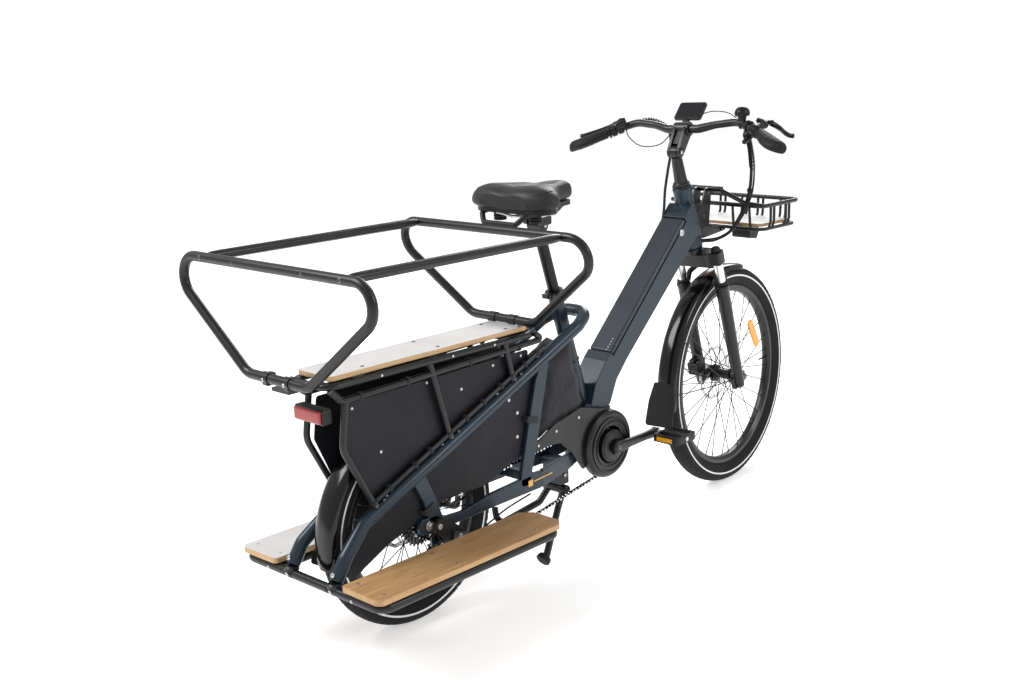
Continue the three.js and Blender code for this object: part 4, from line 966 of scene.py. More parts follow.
def build_bag():
    """The fabric panel bag between the struts and the seat tube, a flat padded wedge."""
    outline = [(462, 566), (520, 592), (554, 604), (606, 420), (560, 392), (436, 366), (400, 352),
               (402, 372)]
    dense = fillet2d(outline, 10, 4)
    ring = []
    for i, p in enumerate(dense):
        q = dense[(i + 1) % len(dense)]
        n = max(1, int(math.hypot(q[0] - p[0], q[1] - p[1]) / 14))
        ring += [(p[0] + (q[0] - p[0]) * k / n, p[1] + (q[1] - p[1]) * k / n) for k in range(n)]
    cy = sum(p[0] for p in ring) / len(ring)
    cz = sum(p[1] for p in ring) / len(ring)
    levels = [(-47, 0.0), (-47, 0.35), (-46, 0.7), (-43, 0.93), (-36, 1.0), (-12, 0.975),
              (12, 0.975), (36, 1.0), (43, 0.93), (46, 0.7), (47, 0.35), (47, 0.0)]
    points = []
    for x, k in levels:
        for y, z in ring:
            wave = 1.6 * math.sin(0.061 * y + 0.02 * z) * math.sin(0.047 * z + 0.4)
            fold = 1.2 * math.sin(0.11 * (y + z)) * k
            squeeze = (wave + fold) * (1 if x > 0 else -1) if abs(x) > 30 else 0
            size = max(k, 0.02)
            points.append((x - squeeze * 0.8, cy + (y - cy) * size, cz + (z - cz) * size))
    bag = Shape().add((points, skin(len(levels), len(ring))))
    obj = make("frame_bag", bag, [BAG], nodes=["frame_bag"], angle=180, ride=False)
    inflate(obj, voxel=0.006, limit=0.005, relax=2)
    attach(obj, "frame")
    seam = Shape()
    for s in (1, -1):
        path = [(s * 44, cy + (y - cy) * 0.97, cz + (z - cz) * 0.97) for y, z in ring]
        seam.add(sweep(on_surface(obj, path), 1.5, 6, closed=True))
    make("bag_piping", seam, [STRAP])


# ---- mudguards and lights
def arc_guard(y, z, radius, start, end, half=33, steps=60):
    """A mudguard: a crowned strip round part of a wheel, with rolled edges."""
    r = radius + 8
    section = [(-half, -14), (-half + 1, -9), (-half + 4, -3), (-20, 1.2), (-8, 2.8), (8, 2.8),
               (20, 1.2), (half - 4, -3), (half - 1, -9), (half, -14)]
    inner = [(x * 0.955, d - 1.6) for x, d in reversed(section)]
    ring = section + inner
    points = []
    for i in range(steps + 1):
        a = math.radians(start + (end - start) * i / steps)
        ease = 1 - 0.22 * max(0, 1 - min(i, steps - i) / 3.0) ** 2
        for x, d in ring:
            points.append((x * ease, y + (r + d) * math.cos(a), z + (r + d) * math.sin(a)))
    return points, skin(steps + 1, len(ring))


def build_mudguards():
    rear = Shape().add(arc_guard(0, REAR_R, REAR_R, 18, 190))
    make("rear_mudguard", rear, [GLOSS], nodes=["rear_mudguard"], angle=50)
    front = Shape().add(arc_guard(WHEELBASE, FRONT_R, FRONT_R, 76, 187, 32, 60))
    flap = fillet2d([(-33, 384), (-44, 330), (-46, 268), (-40, 262), (40, 262), (46, 268), (44, 330),
                     (33, 384)], 6, 3)
    points, faces = prism(flap, -2, 2, "y")
    points = [(x, 986 + d - (384 - zz) * 0.285, zz) for x, d, zz in points]
    front.add((points, faces), 1)
    make("front_mudguard", front, [GLOSS, RUBBER], body="fork_lowers", nodes=["front_mudguard"],
         angle=50)
    wires = Shape()
    for s in (1, -1):
        for a in (math.radians(150), math.radians(178)):
            start = (s * 62, WHEELBASE - 12, FRONT_R + 6)
            middle = (s * 56, WHEELBASE - 120, FRONT_R + 50 * math.sin(a))
            end = (s * 31, WHEELBASE + FRONT_R * math.cos(a), FRONT_R + FRONT_R * math.sin(a))
            wires.add(sweep(smooth_path([start, middle, end], 6), 1.6, 10))
    make("front_guard_stays", wires, [GUARD_METAL], body="fork_lowers")


def build_lights():
    rear = Shape()
    rear.add(prism(fillet2d([(-276, 566), (-248, 566), (-248, 602), (-276, 602)], 5, 4), -49, 49))
    make("rear_light_body", rear, [PLASTIC], nodes=["rear_light"], bevel=3)
    lens = Shape()
    lens.add(prism(fillet2d([(-281.5, 570), (-262, 570), (-262, 599), (-281.5, 599)], 4, 4), -45, 45))
    make("rear_lens", lens, [RED], bevel=3)
    z = BASKET_FLOOR - 5.6
    body = Shape()
    body.add(prism(fillet2d([(1404, z - 46), (1448, z - 52), (1460, z - 30), (1456, z - 10),
                             (1410, z - 8)], 7, 4), -32, 32))
    body.add(block(-8, 8, 1418, 1444, z - 12, z - 0.4))
    make("front_light", body, [PLASTIC], nodes=["front_light"], bevel=2.5)
    glass = Shape().add(spin([(2, 5), (15, 4), (20, 1), (21, -3)], (0, 1455, z - 30),
                             (0, 0.98, -0.1), 36))
    make("front_lens", glass, [LENS])


# ---- basket
def build_basket():
    half, back, front_y = BASKET_HALF, BASKET_BACK, BASKET_FRONT
    rim, floor = BASKET_RIM, BASKET_FLOOR
    cage = Shape()
    top = [(half, back, rim), (half, front_y, rim), (-half, front_y, rim), (-half, back, rim)]
    cage.add(sweep(bend(top, 28, 8, closed=True), 6.5, 16, closed=True))
    low = [(half - 5, back + 8, floor), (half - 5, front_y - 12, floor),
           (-half + 5, front_y - 12, floor), (-half + 5, back + 8, floor)]
    cage.add(sweep(bend(low, 26, 8, closed=True), 5.5, 16, closed=True))
    hump = [(-half + 4, back + 2, rim + 2), (-112, back - 12, rim + 8), (-48, back - 56, rim + 50),
            (48, back - 56, rim + 50), (112, back - 12, rim + 8), (half - 4, back + 2, rim + 2)]
    cage.add(sweep(bend(hump, 26, 8), 6.5, 16))
    for s in (1, -1):
        for y in (back + 44, back + 62, front_y - 74, front_y - 56):
            cage.add(sweep(bend([(s * half, y, rim), (s * half, y, floor + 20),
                                 (s * (half - 6), y, floor)], 10, 4), 4, 12))
        for x in (s * 20, s * 38, s * 100, s * 118):
            cage.add(sweep(bend([(x, front_y, rim), (x, front_y - 2, floor + 20),
                                 (x, front_y - 12, floor)], 10, 4), 4, 12))
        for x in (s * 60, s * 118):
            cage.add(rod((x, back, rim), (x, back + 8, floor), 4, sides=12))
        cage.add(block(s * 70 - 9, s * 70 + 9, back + 8, front_y - 12, floor - 3, floor + 3.4))
    make("basket", cage, [BLACK], nodes=["basket_frame"], bevel=0.8)
    bracket = Shape()
    ear = fillet2d([(1146, 862), (1170, 884), (1188, 928), (1218, 932), (1214, 880), (1206, 816),
                    (1290, 806), (1290, 795), (1176, 784)], 8, 4)
    for s in (1, -1):
        bracket.add(side_plate(ear, s, 16, 21))
        for y, z in ((1180, 850), (1180, 812), (1202, 918), (1274, 801)):
            bracket.add(bolt((s * 21, y, z), (s, 0, 0), 4.6, 3), 1)
    bracket.add(block(-21, 21, 1262, 1290, 796, 806))
    bracket.add(sweep([(-60, 1214, 926), (60, 1214, 926)], 8.6, 18))
    make("basket_bracket", bracket, [BLACK, DARK_STEEL], bevel=1)
    board = Shape().add(prism(rounded_rect(-half + 20, half - 20, back + 22, front_y - 20, 16, 6),
                              floor + 4.4, floor + 14, "z"))
    make("basket_floor", board, [WOOD_SHEEN_TOP], nodes=["basket_board"], bevel=2)


# ---- wheels
def tyre_part(radius, y, z):
    """A tyre with rounded shoulders, block tread and a raised side stripe."""
    side, tread, stripe = 0, 1, 2
    crown = [(radius - 7.5 * abs(t) ** 2.6, 24 * t, tread) for t in np.linspace(-1, 1, 21)]
    wall = [(11, 25.6, tread), (15, 27.0, side), (20, 27.6, side), (23, 27.6, side),
            (23.6, 28.0, stripe), (28.4, 27.6, stripe), (29, 27.0, side), (38, 24, side),
            (46, 19, side), (53, 14.5, side), (TYRE_DEPTH, 12, side)]
    right = [(radius - inward, x, k) for inward, x, k in wall]
    full = [(r, -x, k) for r, x, k in reversed(right)] + crown + right
    steps = circle(420)
    points = []
    for a in steps:
        ca, sa = math.cos(a), math.sin(a)
        for r, x, k in full:
            depth = 0.0
            if k == tread:
                lane = abs(x)
                phase = (a * radius + 0.55 * lane * (1 if x >= 0 else -1)) % 21.0
                if lane < 1.6:
                    depth = 1.6
                elif 11.0 < lane < 13.0:
                    depth = 1.5
                elif lane >= 4 and phase < 3.4:
                    depth = 2.0
            points.append((x, y + (r - depth) * ca, z + (r - depth) * sa))
    after = full[1:] + full[:1]
    kinds = [int(p[2] == stripe and q[2] == stripe) for p, q in zip(full, after)] * len(steps)
    return points, skin(len(steps), len(full), closed=True), kinds


def build_wheel(name, radius, y, z, hub, body):
    points, faces, kinds = tyre_part(radius, y, z)
    tyre = Shape().add((points, faces))
    tyre.kinds = kinds
    make(name + "_tyre", tyre, [TYRE, STRIPE], body=body, nodes=[name + "_tyre"], angle=38)
    centre = (0, y, z)
    bead = radius - TYRE_DEPTH
    rim = Shape()
    rim.add(spin([(bead + 1, -13), (bead - 2, -15.5), (bead - 12, -15), (bead - 20, -8),
                  (bead - 22, 0), (bead - 20, 8), (bead - 12, 15), (bead - 2, 15.5), (bead + 1, 13),
                  (bead - 4, 10), (bead - 6, 0), (bead - 4, -10)], centre, ACROSS, 120, closed=True))
    rim.add(rod((0, y + bead - 22, z), (0, y + bead - 60, z), 3.2, 2.6, 10))
    make(name + "_rim", rim, [BLACK], body=body, nodes=[name + "_wheel"])
    spokes = Shape()
    for i, a in enumerate(circle(32)):
        s = 1 if i % 2 else -1
        cross = 1 if (i // 2) % 2 else -1
        a += math.pi / 32
        lean = cross * 1.12
        start = vec(s * (hub["shell"] - 1.5), y + 22 * math.cos(a + lean), z + 22 * math.sin(a + lean))
        reach = bead - 21
        end = vec(s * 2.5, y + reach * math.cos(a), z + reach * math.sin(a))
        spokes.add(rod(start, end, 1.3, sides=8))
        inward = end + unit(start - end) * 12
        spokes.add(rod(end, inward, 2.0, sides=8), 1)
    make(name + "_spokes", spokes, [SPOKE, DARK_STEEL], body=body)
    shell = Shape()
    h = hub["shell"]
    shell.add(spin([(8, -h - 6), (12, -h - 4), (25, -h), (26, -h + 2), (15, -h + 8), (14, 0),
                    (15, h - 8), (26, h - 2), (25, h), (14, h + 4), (8, h + 8)], centre, ACROSS, 40))
    shell.add(spin([(5, -hub["axle"] + 4), (5, hub["axle"] - 4)], centre, ACROSS, 20), 1)
    make(name + "_hub", shell, [ALLOY_BLACK, STEEL], body=body)
    build_rotor(name, hub["rotor"], hub["rotorR"], y, z, body, -h)


def build_rotor(name, x, radius, y, z, body, hub_side):
    """A brake disc: an open ring on curved arms, fixed to the hub with small screws."""
    disc = Shape()
    inner = radius - 12
    count = 168
    rings = []
    for face in (x - 0.9, x + 0.9):
        for base, lag in ((radius - 1.5, 0.0), (inner, 0.9)):
            ring = []
            for a in circle(count):
                r = base + 1.5 * math.cos(14 * a + lag)
                ring.append((face, y + r * math.cos(a), z + r * math.sin(a)))
            rings.append(ring)
    faces = []
    for a, b in ((0, 1), (1, 3), (3, 2), (2, 0)):
        for k in range(count):
            l = (k + 1) % count
            faces.append((a * count + k, a * count + l, b * count + l, b * count + k))
    disc.add(([p for ring in rings for p in ring], faces))
    for k in range(56):
        a = 2 * math.pi * k / 56
        r = radius - 4 - 5 * (k % 2)
        disc.add(spin([(1.7, -1.05), (1.7, 1.05)], (x, y + r * math.cos(a), z + r * math.sin(a)),
                      ACROSS, 10), 1)
    for k in range(6):
        a = 2 * math.pi * k / 6
        spots = []
        for t in range(7):
            r = 20 + (inner + 2 - 20) * t / 6
            b = a + 0.55 * t / 6
            spots.append((x, y + r * math.cos(b), z + r * math.sin(b)))
        disc.add(sweep(spots, 1.0, section=[(0.9, -3.4), (0.9, 3.4), (-0.9, 3.4), (-0.9, -3.4)],
                       up=(0.0, 0.02, 1.0)))
        disc.add(bolt((x - 1, y + 21 * math.cos(a), z + 21 * math.sin(a)), (-1, 0, 0), 3, 2), 1)
    disc.add(spin([(10, x - 1), (27, x - 1), (27, x + 1), (10, hub_side + 1)], (0, y, z), ACROSS, 32), 1)
    make(name + "_brake_disc", disc, [STEEL, ALLOY_BLACK], body=body)


def build_wheels():
    front = {"axle": 67, "shell": 28, "rotor": -38, "rotorR": 86}
    rear = {"axle": 82, "shell": 27, "rotor": -37, "rotorR": 80}
    build_wheel("front", FRONT_R, WHEELBASE, FRONT_R, front, "front_wheel")
    build_wheel("rear", REAR_R, 0, REAR_R, rear, "rear_wheel")
    amber = Shape()
    a = math.radians(30)
    mid = vec(8, WHEELBASE + 196 * math.cos(a), FRONT_R + 196 * math.sin(a))
    out = vec(0, math.cos(a), math.sin(a))
    across = np.cross(ACROSS, out)
    plate = prism(rounded_rect(-14, 14, -52, 52, 12, 6), -3.5, 3.5, "z")
    amber.add(moved(plate, mid, out, across, ACROSS))
    make("spoke_reflector", amber, [AMBER], body="front_wheel", bevel=1.5)


# ---- drive
def sprocket(x, teeth, y, z, thick, bore, phase=0.0):
    """A toothed ring with a bore."""
    pitch = CHAIN_PITCH / (2 * math.sin(math.pi / teeth))
    outer, inner = [], []
    for k in range(teeth):
        for f, d in ((0.0, -3.6), (0.22, -2.2), (0.38, 2.6), (0.62, 2.6), (0.78, -2.2)):
            a = 2 * math.pi * (k + f) / teeth + phase
            outer.append((y + (pitch + d) * math.cos(a), z + (pitch + d) * math.sin(a)))
            inner.append((y + bore * math.cos(a), z + bore * math.sin(a)))
    return hollow(outer, inner, x - thick / 2, x + thick / 2, lambda p, d: (d, *p))


def build_cassette():
    stack = Shape()
    sizes = [28, 25, 22, 20, 17, 15, 13]
    for k, teeth in enumerate(sizes):
        stack.add(sprocket(33 + 3.5 * k, teeth, 0, REAR_R, 1.8, 16 if teeth < 20 else 20, 0.1 * k))
    stack.add(spin([(17, 32), (17, 55), (13, 56)], (0, 0, REAR_R), ACROSS, 32))
    make("cassette", stack, [DARK_STEEL], body="cassette", nodes=["cassette"])


def chain_route():
    """The pitch line of the chain, with the index where each stretch ends."""
    circles = [(CRANK_Y, CRANK_Z, 77.0, 1), (0.0, REAR_R, 34.0, 1), (*GUIDE[:2], 18.0, -1),
               (*TENSION[:2], 18.0, 1)]
    spots, marks = [], []
    n = len(circles)

    def heading(i):
        y0, z0, r0, t0 = circles[i % n]
        y1, z1, r1, t1 = circles[(i + 1) % n]
        dy, dz = y1 - y0, z1 - z0
        return math.atan2(dz, dy) + math.asin((t0 * r0 - t1 * r1) / math.hypot(dy, dz))

    for i in range(n):
        y, z, r, turn = circles[i]
        before, after = heading(i - 1), heading(i)
        while turn > 0 and after < before:
            after += 2 * math.pi
        while turn < 0 and after > before:
            after -= 2 * math.pi
        steps = max(4, int(abs(after - before) / 0.08))
        for k in range(steps + 1):
            a = before + (after - before) * k / steps
            spots.append((y + turn * r * math.sin(a), z - turn * r * math.cos(a)))
        marks.append(len(spots))
    return spots, marks


def build_chain():
    spots, marks = chain_route()
    spots.append(spots[0])
    run = [0.0]
    for p, q in zip(spots, spots[1:]):
        run.append(run[-1] + math.hypot(q[0] - p[0], q[1] - p[1]))
    total = run[-1]
    links = int(round(total / CHAIN_PITCH / 2)) * 2
    pitch = total / links
    leaves_cassette = run[marks[1] - 1]
    meets_guide = run[marks[1]]
    leaves_cage = run[marks[3] - 1]

    def place(d):
        d = d % total
        i = max(0, np.searchsorted(run, d) - 1)
        t = (d - run[i]) / max(1e-6, run[i + 1] - run[i])
        p, q = spots[i], spots[i + 1]
        return vec(CHAIN_X, p[0] + (q[0] - p[0]) * t, p[1] + (q[1] - p[1]) * t)

    top, drop, cage, bottom = Shape(), Shape(), Shape(), Shape()
    for k in range(links):
        d = k * pitch
        a, b = place(d), place(d + pitch)
        if d < leaves_cassette:
            part = top
        elif d < meets_guide:
            part = drop
        elif d < leaves_cage:
            part = cage
        else:
            part = bottom
        along = unit(b - a)
        high = np.cross(ACROSS, along)
        capsule = []
        for s, centre in ((1, pitch), (-1, 0.0)):
            for j in range(5):
                t = math.radians(-90 + 45 * j) * s
                capsule.append((centre + s * 3.9 * math.cos(t), 3.9 * math.sin(t) * s))
        xs = 2.6 if k % 2 else 1.7
        for side in (-1, 1):
            plate = prism(capsule, *sorted((side * xs, side * (xs + 0.8))), "z")
            part.add(moved(plate, a, along, high, ACROSS))
        part.add(spin([(2.2, -3.7), (3.6, -1.8), (3.6, 1.8), (2.2, 3.7)], a, ACROSS, 8))
    make("chain_top", top, [CHROME], nodes=["chain"])
    make("chain_cage", cage, [CHROME], body="derailleur_cage")
    down = make("chain_drop", drop, [CHROME], ride=False)
    back = make("chain_bottom", bottom, [CHROME], ride=False)
    tuple(to_scene(place(leaves_cassette)))
    tuple(to_scene(place(meets_guide)))
    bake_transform(down)
    tuple(to_scene((CHAIN_X, 60, 115)))
    tuple(to_scene((CHAIN_X, 560, 190)))
    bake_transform(back)


def build_derailleur():
    body = Shape()
    body.add(prism(fillet2d([(12, 172), (42, 172), (52, 192), (48, 214), (20, 216)], 7, 4), 62, 82))
    body.add(prism(fillet2d([(4, 200), (26, 200), (30, 232), (6, 232)], 5, 3), 63, 70), 1)
    body.add(spin([(12, 60), (12, 84), (9, 87)], (0, 22, 208), ACROSS, 28))
    body.add(prism(fillet2d([(2, 246), (10, 270), (34, 272), (96, 228), (94, 206), (60, 200),
                             (30, 216)], 8, 4), 74, 88))
    body.add(prism(fillet2d([(52, 198), (96, 200), (100, 218), (60, 232)], 5, 3), 88, 93), 1)
    for y, z in ((16, 256), (80, 214)):
        body.add(spin([(7, 87), (7, 92), (5, 94)], (0, y, z), ACROSS, 20), 2)
    body.add(spin([(14, 59.5), (14, 72), (10, 75)], (0, 31, 188), ACROSS, 28), 1)
    body.add(bolt((84, 40, 190), ACROSS, 4, 3), 2)
    body.add(bolt((87, 22, 208), ACROSS, 5, 3), 2)
    make("derailleur", body, [BLACK, DARK_STEEL, ALLOY], nodes=["derailleur_body"], bevel=1.6)
    cage = Shape()
    for x0 in (42, 55.5):
        outline = fillet2d([(GUIDE[0] - 12, GUIDE[1] + 10), (GUIDE[0] + 12, GUIDE[1] + 10),
                            (GUIDE[0] + 9, GUIDE[1] - 20), (TENSION[0] + 11, TENSION[1] - 9),
                            (TENSION[0] - 10, TENSION[1] - 11)], 6, 4)
        cage.add(prism(outline, x0, x0 + 2.2))
    for y, z, _ in (GUIDE, TENSION):
        cage.add(sprocket(CHAIN_X, 11, y, z, 3.0, 5), 1)
        cage.add(spin([(5, 41.5), (6.5, 43), (6.5, 57), (5, 59.5)], (0, y, z), ACROSS, 20), 2)
    make("derailleur_cage", cage, [DARK_STEEL, PLASTIC, ALLOY], body="derailleur_cage",
         nodes=["derailleur_cage"], slot="black_paint", bevel=0.5)
    cable = Shape()
    cable.add(sweep(smooth_path([(72, 350, 238), (75, 260, 226), (78, 190, 208), (84, 150, 200),
                                 (88, 118, 206), (88, 98, 214)], 8), 2.4, 10))
    make("gear_cable_rear", cable, [CABLE])


def build_chain_cover():
    cover = Shape()
    cover.add(spin([(52, 60), (52, 76), (62, 79), (86, 76), (93, 70), (95, 60), (95, 54.4),
                    (52, 54.4)], COVER, ACROSS, 72, closed=True))
    outline = fillet2d([(700, 384), (640, 396), (571, 415), (467, 395), (382, 356), (382, 334),
                        (430, 342), (486, 338), (530, 300), (575, 240), (600, 250), (590, 300),
                        (640, 352)], 7, 3)
    cover.add(prism(outline, 54.4, 59.6))
    for r in (58, 72):
        ring = [(r, 76), (r + 1, 80), (r + 5, 81), (r + 6, 76)]
        cover.add(spin(ring, COVER, ACROSS, 72, closed=True))
    for y, z in ((400, 352), (470, 374), (560, 390)):
        cover.add(dome((59.6, y, z), ACROSS, 4, 2.2), 1)
    make("chain_cover", cover, [BLACK, RIVET], nodes=["chain_cover"], slot="black_plastic", bevel=1.4)


def build_crank():
    crank = Shape()
    crank.add(spin([(9, -98), (9, 98)], (0, CRANK_Y, CRANK_Z), ACROSS, 24), 1)
    for a in circle(5):
        end = vec(56, CRANK_Y + 58 * math.cos(a + 0.3), CRANK_Z + 58 * math.sin(a + 0.3))
        crank.add(sweep([vec(66, CRANK_Y, CRANK_Z), end], [9, 6], 12))
        crank.add(bolt(end + vec(2, 0, 0), ACROSS, 4, 3), 2)
    crank.add(spin([(44, 64), (46, 66), (46, 78), (40, 84), (22, 86), (20, 80), (12, 80)],
                   (0, CRANK_Y, CRANK_Z), ACROSS, 56))
    for s in (1, -1):
        root = vec(s * 95, CRANK_Y, CRANK_Z)
        tip = vec(s * 98, CRANK_Y + s * CRANK_LENGTH, CRANK_Z + s * 3)
        section = oval(0.62, 1, 24, 0.6)
        path = [root + (tip - root) * t for t in (0, 0.1, 0.35, 0.7, 0.9, 1.0)]
        crank.add(sweep(path, [17, 15.5, 12.5, 11.5, 13, 13], section=section))
        crank.add(spin([(12, s * 88), (13.5, s * 90), (13.5, s * 105), (12, s * 107)],
                       (0, tip[1], tip[2]), ACROSS, 28))
        crank.add(spin([(17, s * 84), (19, s * 87), (19, s * 100), (15, s * 104), (8, s * 104.6)],
                       (0, CRANK_Y, CRANK_Z), ACROSS, 32))
        crank.add(bolt((s * 104.4, CRANK_Y, CRANK_Z), (s, 0, 0), 7, 2.4), 2)
    make("crank_arms", crank, [BLACK, STEEL, DARK_STEEL], body="crank", nodes=["crankset"], bevel=0.8)
    ring = Shape().add(sprocket(CHAIN_X, 38, CRANK_Y, CRANK_Z, 2.4, 52))
    make("chainring", ring, [DARK_STEEL], body="crank")


def build_pedal(s, name):
    y, z = CRANK_Y + s * CRANK_LENGTH, CRANK_Z + s * 3
    cx = s * 164
    frame_part = Shape()
    outer = rounded_rect(cx - 43, cx + 43, y - 46, y + 46, 12, 6)
    inner = [(cx + (px - cx) * 0.80, y + (py - y) * 0.80) for px, py in outer]
    frame_part.add(hollow(outer, inner, z - 10, z + 10, lambda p, d: (*p, d)))
    frame_part.add(block(cx - 36, cx + 36, y - 11, y + 11, z - 10.5, z + 10.5))
    for k in range(7):
        x = cx - 36 + 12 * k
        for e in (-1, 1):
            for grip_z in (z - 10.5, z + 10.5):
                frame_part.add(block(x - 2, x + 2, y + e * 41 - 4, y + e * 41 + 4,
                                     grip_z - 1.4, grip_z + 1.4))
    make("pedal_body_" + name, frame_part, [PLASTIC], body="pedal_" + name, nodes=["pedal_" + name],
         bevel=1.4)
    axle = Shape().add(spin([(9, s * 107.4), (9, s * 116), (6, s * 120), (6, s * 208)], (0, y, z),
                            ACROSS, 24))
    make("pedal_axle_" + name, axle, [STEEL], body="pedal_" + name)
    glass = Shape()
    for e in (-1, 1):
        glass.add(block(cx - 26, cx + 26, y + e * 46 - 1.5, y + e * 46 + 1.5, z - 6, z + 6))
    make("pedal_reflectors_" + name, glass, [AMBER], body="pedal_" + name, bevel=0.8)


def build_pedals():
    build_pedal(1, "right")
    build_pedal(-1, "left")


def build_stand():
    stand = Shape()
    y, z = 530, 190
    stand.add(spin([(12, -40), (13, -38), (13, 38), (12, 40)], (0, y, z), ACROSS, 28))
    for s in (1, -1):
        leg = bend([(s * 24, y + 4, z + 2), (s * 34, y - 32, z - 42), (s * 118, 355, 77),
                    (s * 118, 341, 71)], 24, 8)
        stand.add(sweep(leg, 9.5, 20))
        foot = [(12, -8), (17, -6), (19, 0), (19, 7), (16, 9)]
        stand.add(spin(foot, (s * 118, 346, 74), (0, -14, -9), 28), 1)
    make("stand", stand, [BLACK, RUBBER], body="kickstand", nodes=["kickstand"])


# ---- seat
def build_seat():
    collar = Shape()
    collar.add(spin([(20.4, -12), (25, -11), (25, 3), (23, 4), (16, 4.2)], SEAT_TOP, SEAT_AXIS, 40))
    _, y, z = SEAT_TOP
    collar.add(block(-10, 10, y - 36, y - 22, z - 14, z - 2))
    collar.add(spin([(6, -16), (6, -10), (3, -9)], (0, y - 29, z - 8), ACROSS, 6), 1)
    make("seat_collar", collar, [BLACK, ALLOY], nodes=["seat_collar"], bevel=1)
    lever = Shape()
    pivot = vec(19, y - 28, z - 8)
    lever.add(spin([(7, -7.5), (8.2, -6), (8.2, 6), (7, 7.5)], pivot, SEAT_AXIS, 24))
    path = bend([pivot, (30, pivot[1] + 12, pivot[2]), (37, pivot[1] + 36, pivot[2]),
                 (34, pivot[1] + 58, pivot[2])], 14, 8)
    lever.add(sweep(path, [5] * (len(path) - 2) + [4.4, 3.0], section=oval(0.55, 1.25)))
    make("seat_lever", lever, [BLACK], body="seat_lever", nodes=["seat_lever"])
    post = Shape().add(spin([(15.3, -158), (15.3, 183)], SEAT_TOP, SEAT_AXIS, 40))
    make("seatpost", post, [ALLOY_BLACK], body="seat", nodes=["seatpost"])
    head = Shape()
    top = seat_at(190)
    head.add(spin([(13, -26), (15, -23), (15, 23), (13, 26)], top, ACROSS, 28))
    jaw = fillet2d([(top[1] - 20, top[2] + 2), (top[1] + 20, top[2] + 2),
                    (top[1] + 20, top[2] + 24), (top[1] - 20, top[2] + 24)], 5, 3)
    for s in (1, -1):
        head.add(side_plate(jaw, s, 19, 31))
        head.add(bolt((s * 27, top[1], top[2]), (s, 0, 0), 5, 3), 1)
    make("saddle_clamp", head, [BLACK, ALLOY], body="seat", bevel=1.2)


def saddle_section(u):
    """Half width and top height of the saddle at a share u of its length."""
    widths = [(0.0, 78), (0.03, 104), (0.08, 127), (0.16, 141), (0.26, 139), (0.38, 114), (0.52, 77),
              (0.66, 52), (0.80, 40), (0.93, 31), (1.0, 16)]
    tops = [(0.0, 997), (0.05, 1006), (0.18, 1013), (0.4, 1010), (0.6, 1009), (0.8, 1012),
            (0.93, 1011), (1.0, 1000)]
    return [float(np.interp(u, *zip(*table))) for table in (widths, tops)]


def saddle_y(u):
    return SADDLE_BACK + SADDLE_LENGTH * u


def saddle_top(u, v, groove=0.0):
    """A point on the pad's top: v goes from -1 on the left edge to 1 on the right edge."""
    width, top = saddle_section(u)
    x = width * math.sin(v * math.pi / 2)
    low = SADDLE_RIM + 8 * u
    z = top - (top - low) * (abs(v) ** 2.4) ** 1.7
    z -= groove * math.exp(-(x / 13.0) ** 2) * math.sin(math.pi * min(1, max(0, (u - 0.12) / 0.8)))
    if width > 70:
        z += 4.0 * math.sin(math.pi * min(1.0, abs(x) / width)) ** 2
    return x, saddle_y(u), min(z, SADDLE_LIMIT)


def build_saddle():
    rows, columns = 34, 25
    across = np.linspace(-1, 1, columns)
    lengthwise = np.linspace(0, 1, rows)
    points = [saddle_top(u, v, groove=6.0) for u in lengthwise for v in across]
    for u in lengthwise:
        width, _ = saddle_section(u)
        for v in across:
            points.append((width * 0.93 * math.sin(v * math.pi / 2), 490 + (saddle_y(u) - 490) * 0.97,
                           960 + 8 * u + 3 * abs(v)))

    def spot(i, k, layer):
        return layer * rows * columns + i * columns + k

    faces = []
    for i in range(rows - 1):
        for k in range(columns - 1):
            faces.append((spot(i, k, 0), spot(i, k + 1, 0), spot(i + 1, k + 1, 0), spot(i + 1, k, 0)))
            faces.append((spot(i, k + 1, 1), spot(i, k, 1), spot(i + 1, k, 1), spot(i + 1, k + 1, 1)))
    for i in range(rows - 1):
        for k in (0, columns - 1):
            faces.append((spot(i, k, 0), spot(i + 1, k, 0), spot(i + 1, k, 1), spot(i, k, 1)))
    for k in range(columns - 1):
        for i in (0, rows - 1):
            faces.append((spot(i, k, 0), spot(i, k + 1, 0), spot(i, k + 1, 1), spot(i, k, 1)))
    pad = Shape().add((points, faces))
    obj = make("saddle_pad", pad, [VINYL], body="seat", nodes=["saddle"], angle=60, ride=False)
    inflate(obj, voxel=0.005, limit=0.0028, relax=12)
    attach(obj, "seat")
    base = Shape()
    outline = []
    for k in range(41):
        u = 0.02 + 0.96 * k / 40
        outline.append((saddle_section(u)[0] * 0.86, 490 + (saddle_y(u) - 490) * 0.93))
    outline += [(-x, y) for x, y in reversed(outline)]
    base.add(prism(outline, 951, 964, "z"))
    for s in (1, -1):
        base.add(sweep(bend([(s * 56, 392, 948), (s * 30, 426, 934), (s * 25, 520, 932),
                             (s * 13, 580, 956)], 24, 8), 4, 14), 1)
        for d in range(4):
            base.add(spin([(15, -4), (17, -1.5), (17, 1.5), (15, 4)], (s * 60, 410, 930 + 7 * d),
                          UP, 28), 2)
    handle = bend([(-88, 430, 957), (-82, 368, 950), (-64, 354, 926), (44, 354, 926), (66, 368, 948),
                   (88, 430, 957)], 16, 8)
    base.add(sweep(handle, 7, 16))
    make("saddle_base", base, [PLASTIC, STEEL, RUBBER], body="seat", bevel=1.5)
    seams = Shape()
    for s in (1, -1):
        line = [saddle_top(u, s * 0.62) for u in np.linspace(0.05, 0.95, 30)]
        line = [(x, y, min(z, 1016.3) - 0.3) for x, y, z in line]
        seams.add(sweep(on_surface(obj, line), 0.9, 6))
    make("saddle_seams", seams, [STRAP], body="seat", slot="vinyl")


# ---- fork
def on_fork(part):
    """A part drawn across, ahead of and along the steering axis, put in its place."""
    points, faces = part
    return [fork(*p) for p in points], faces


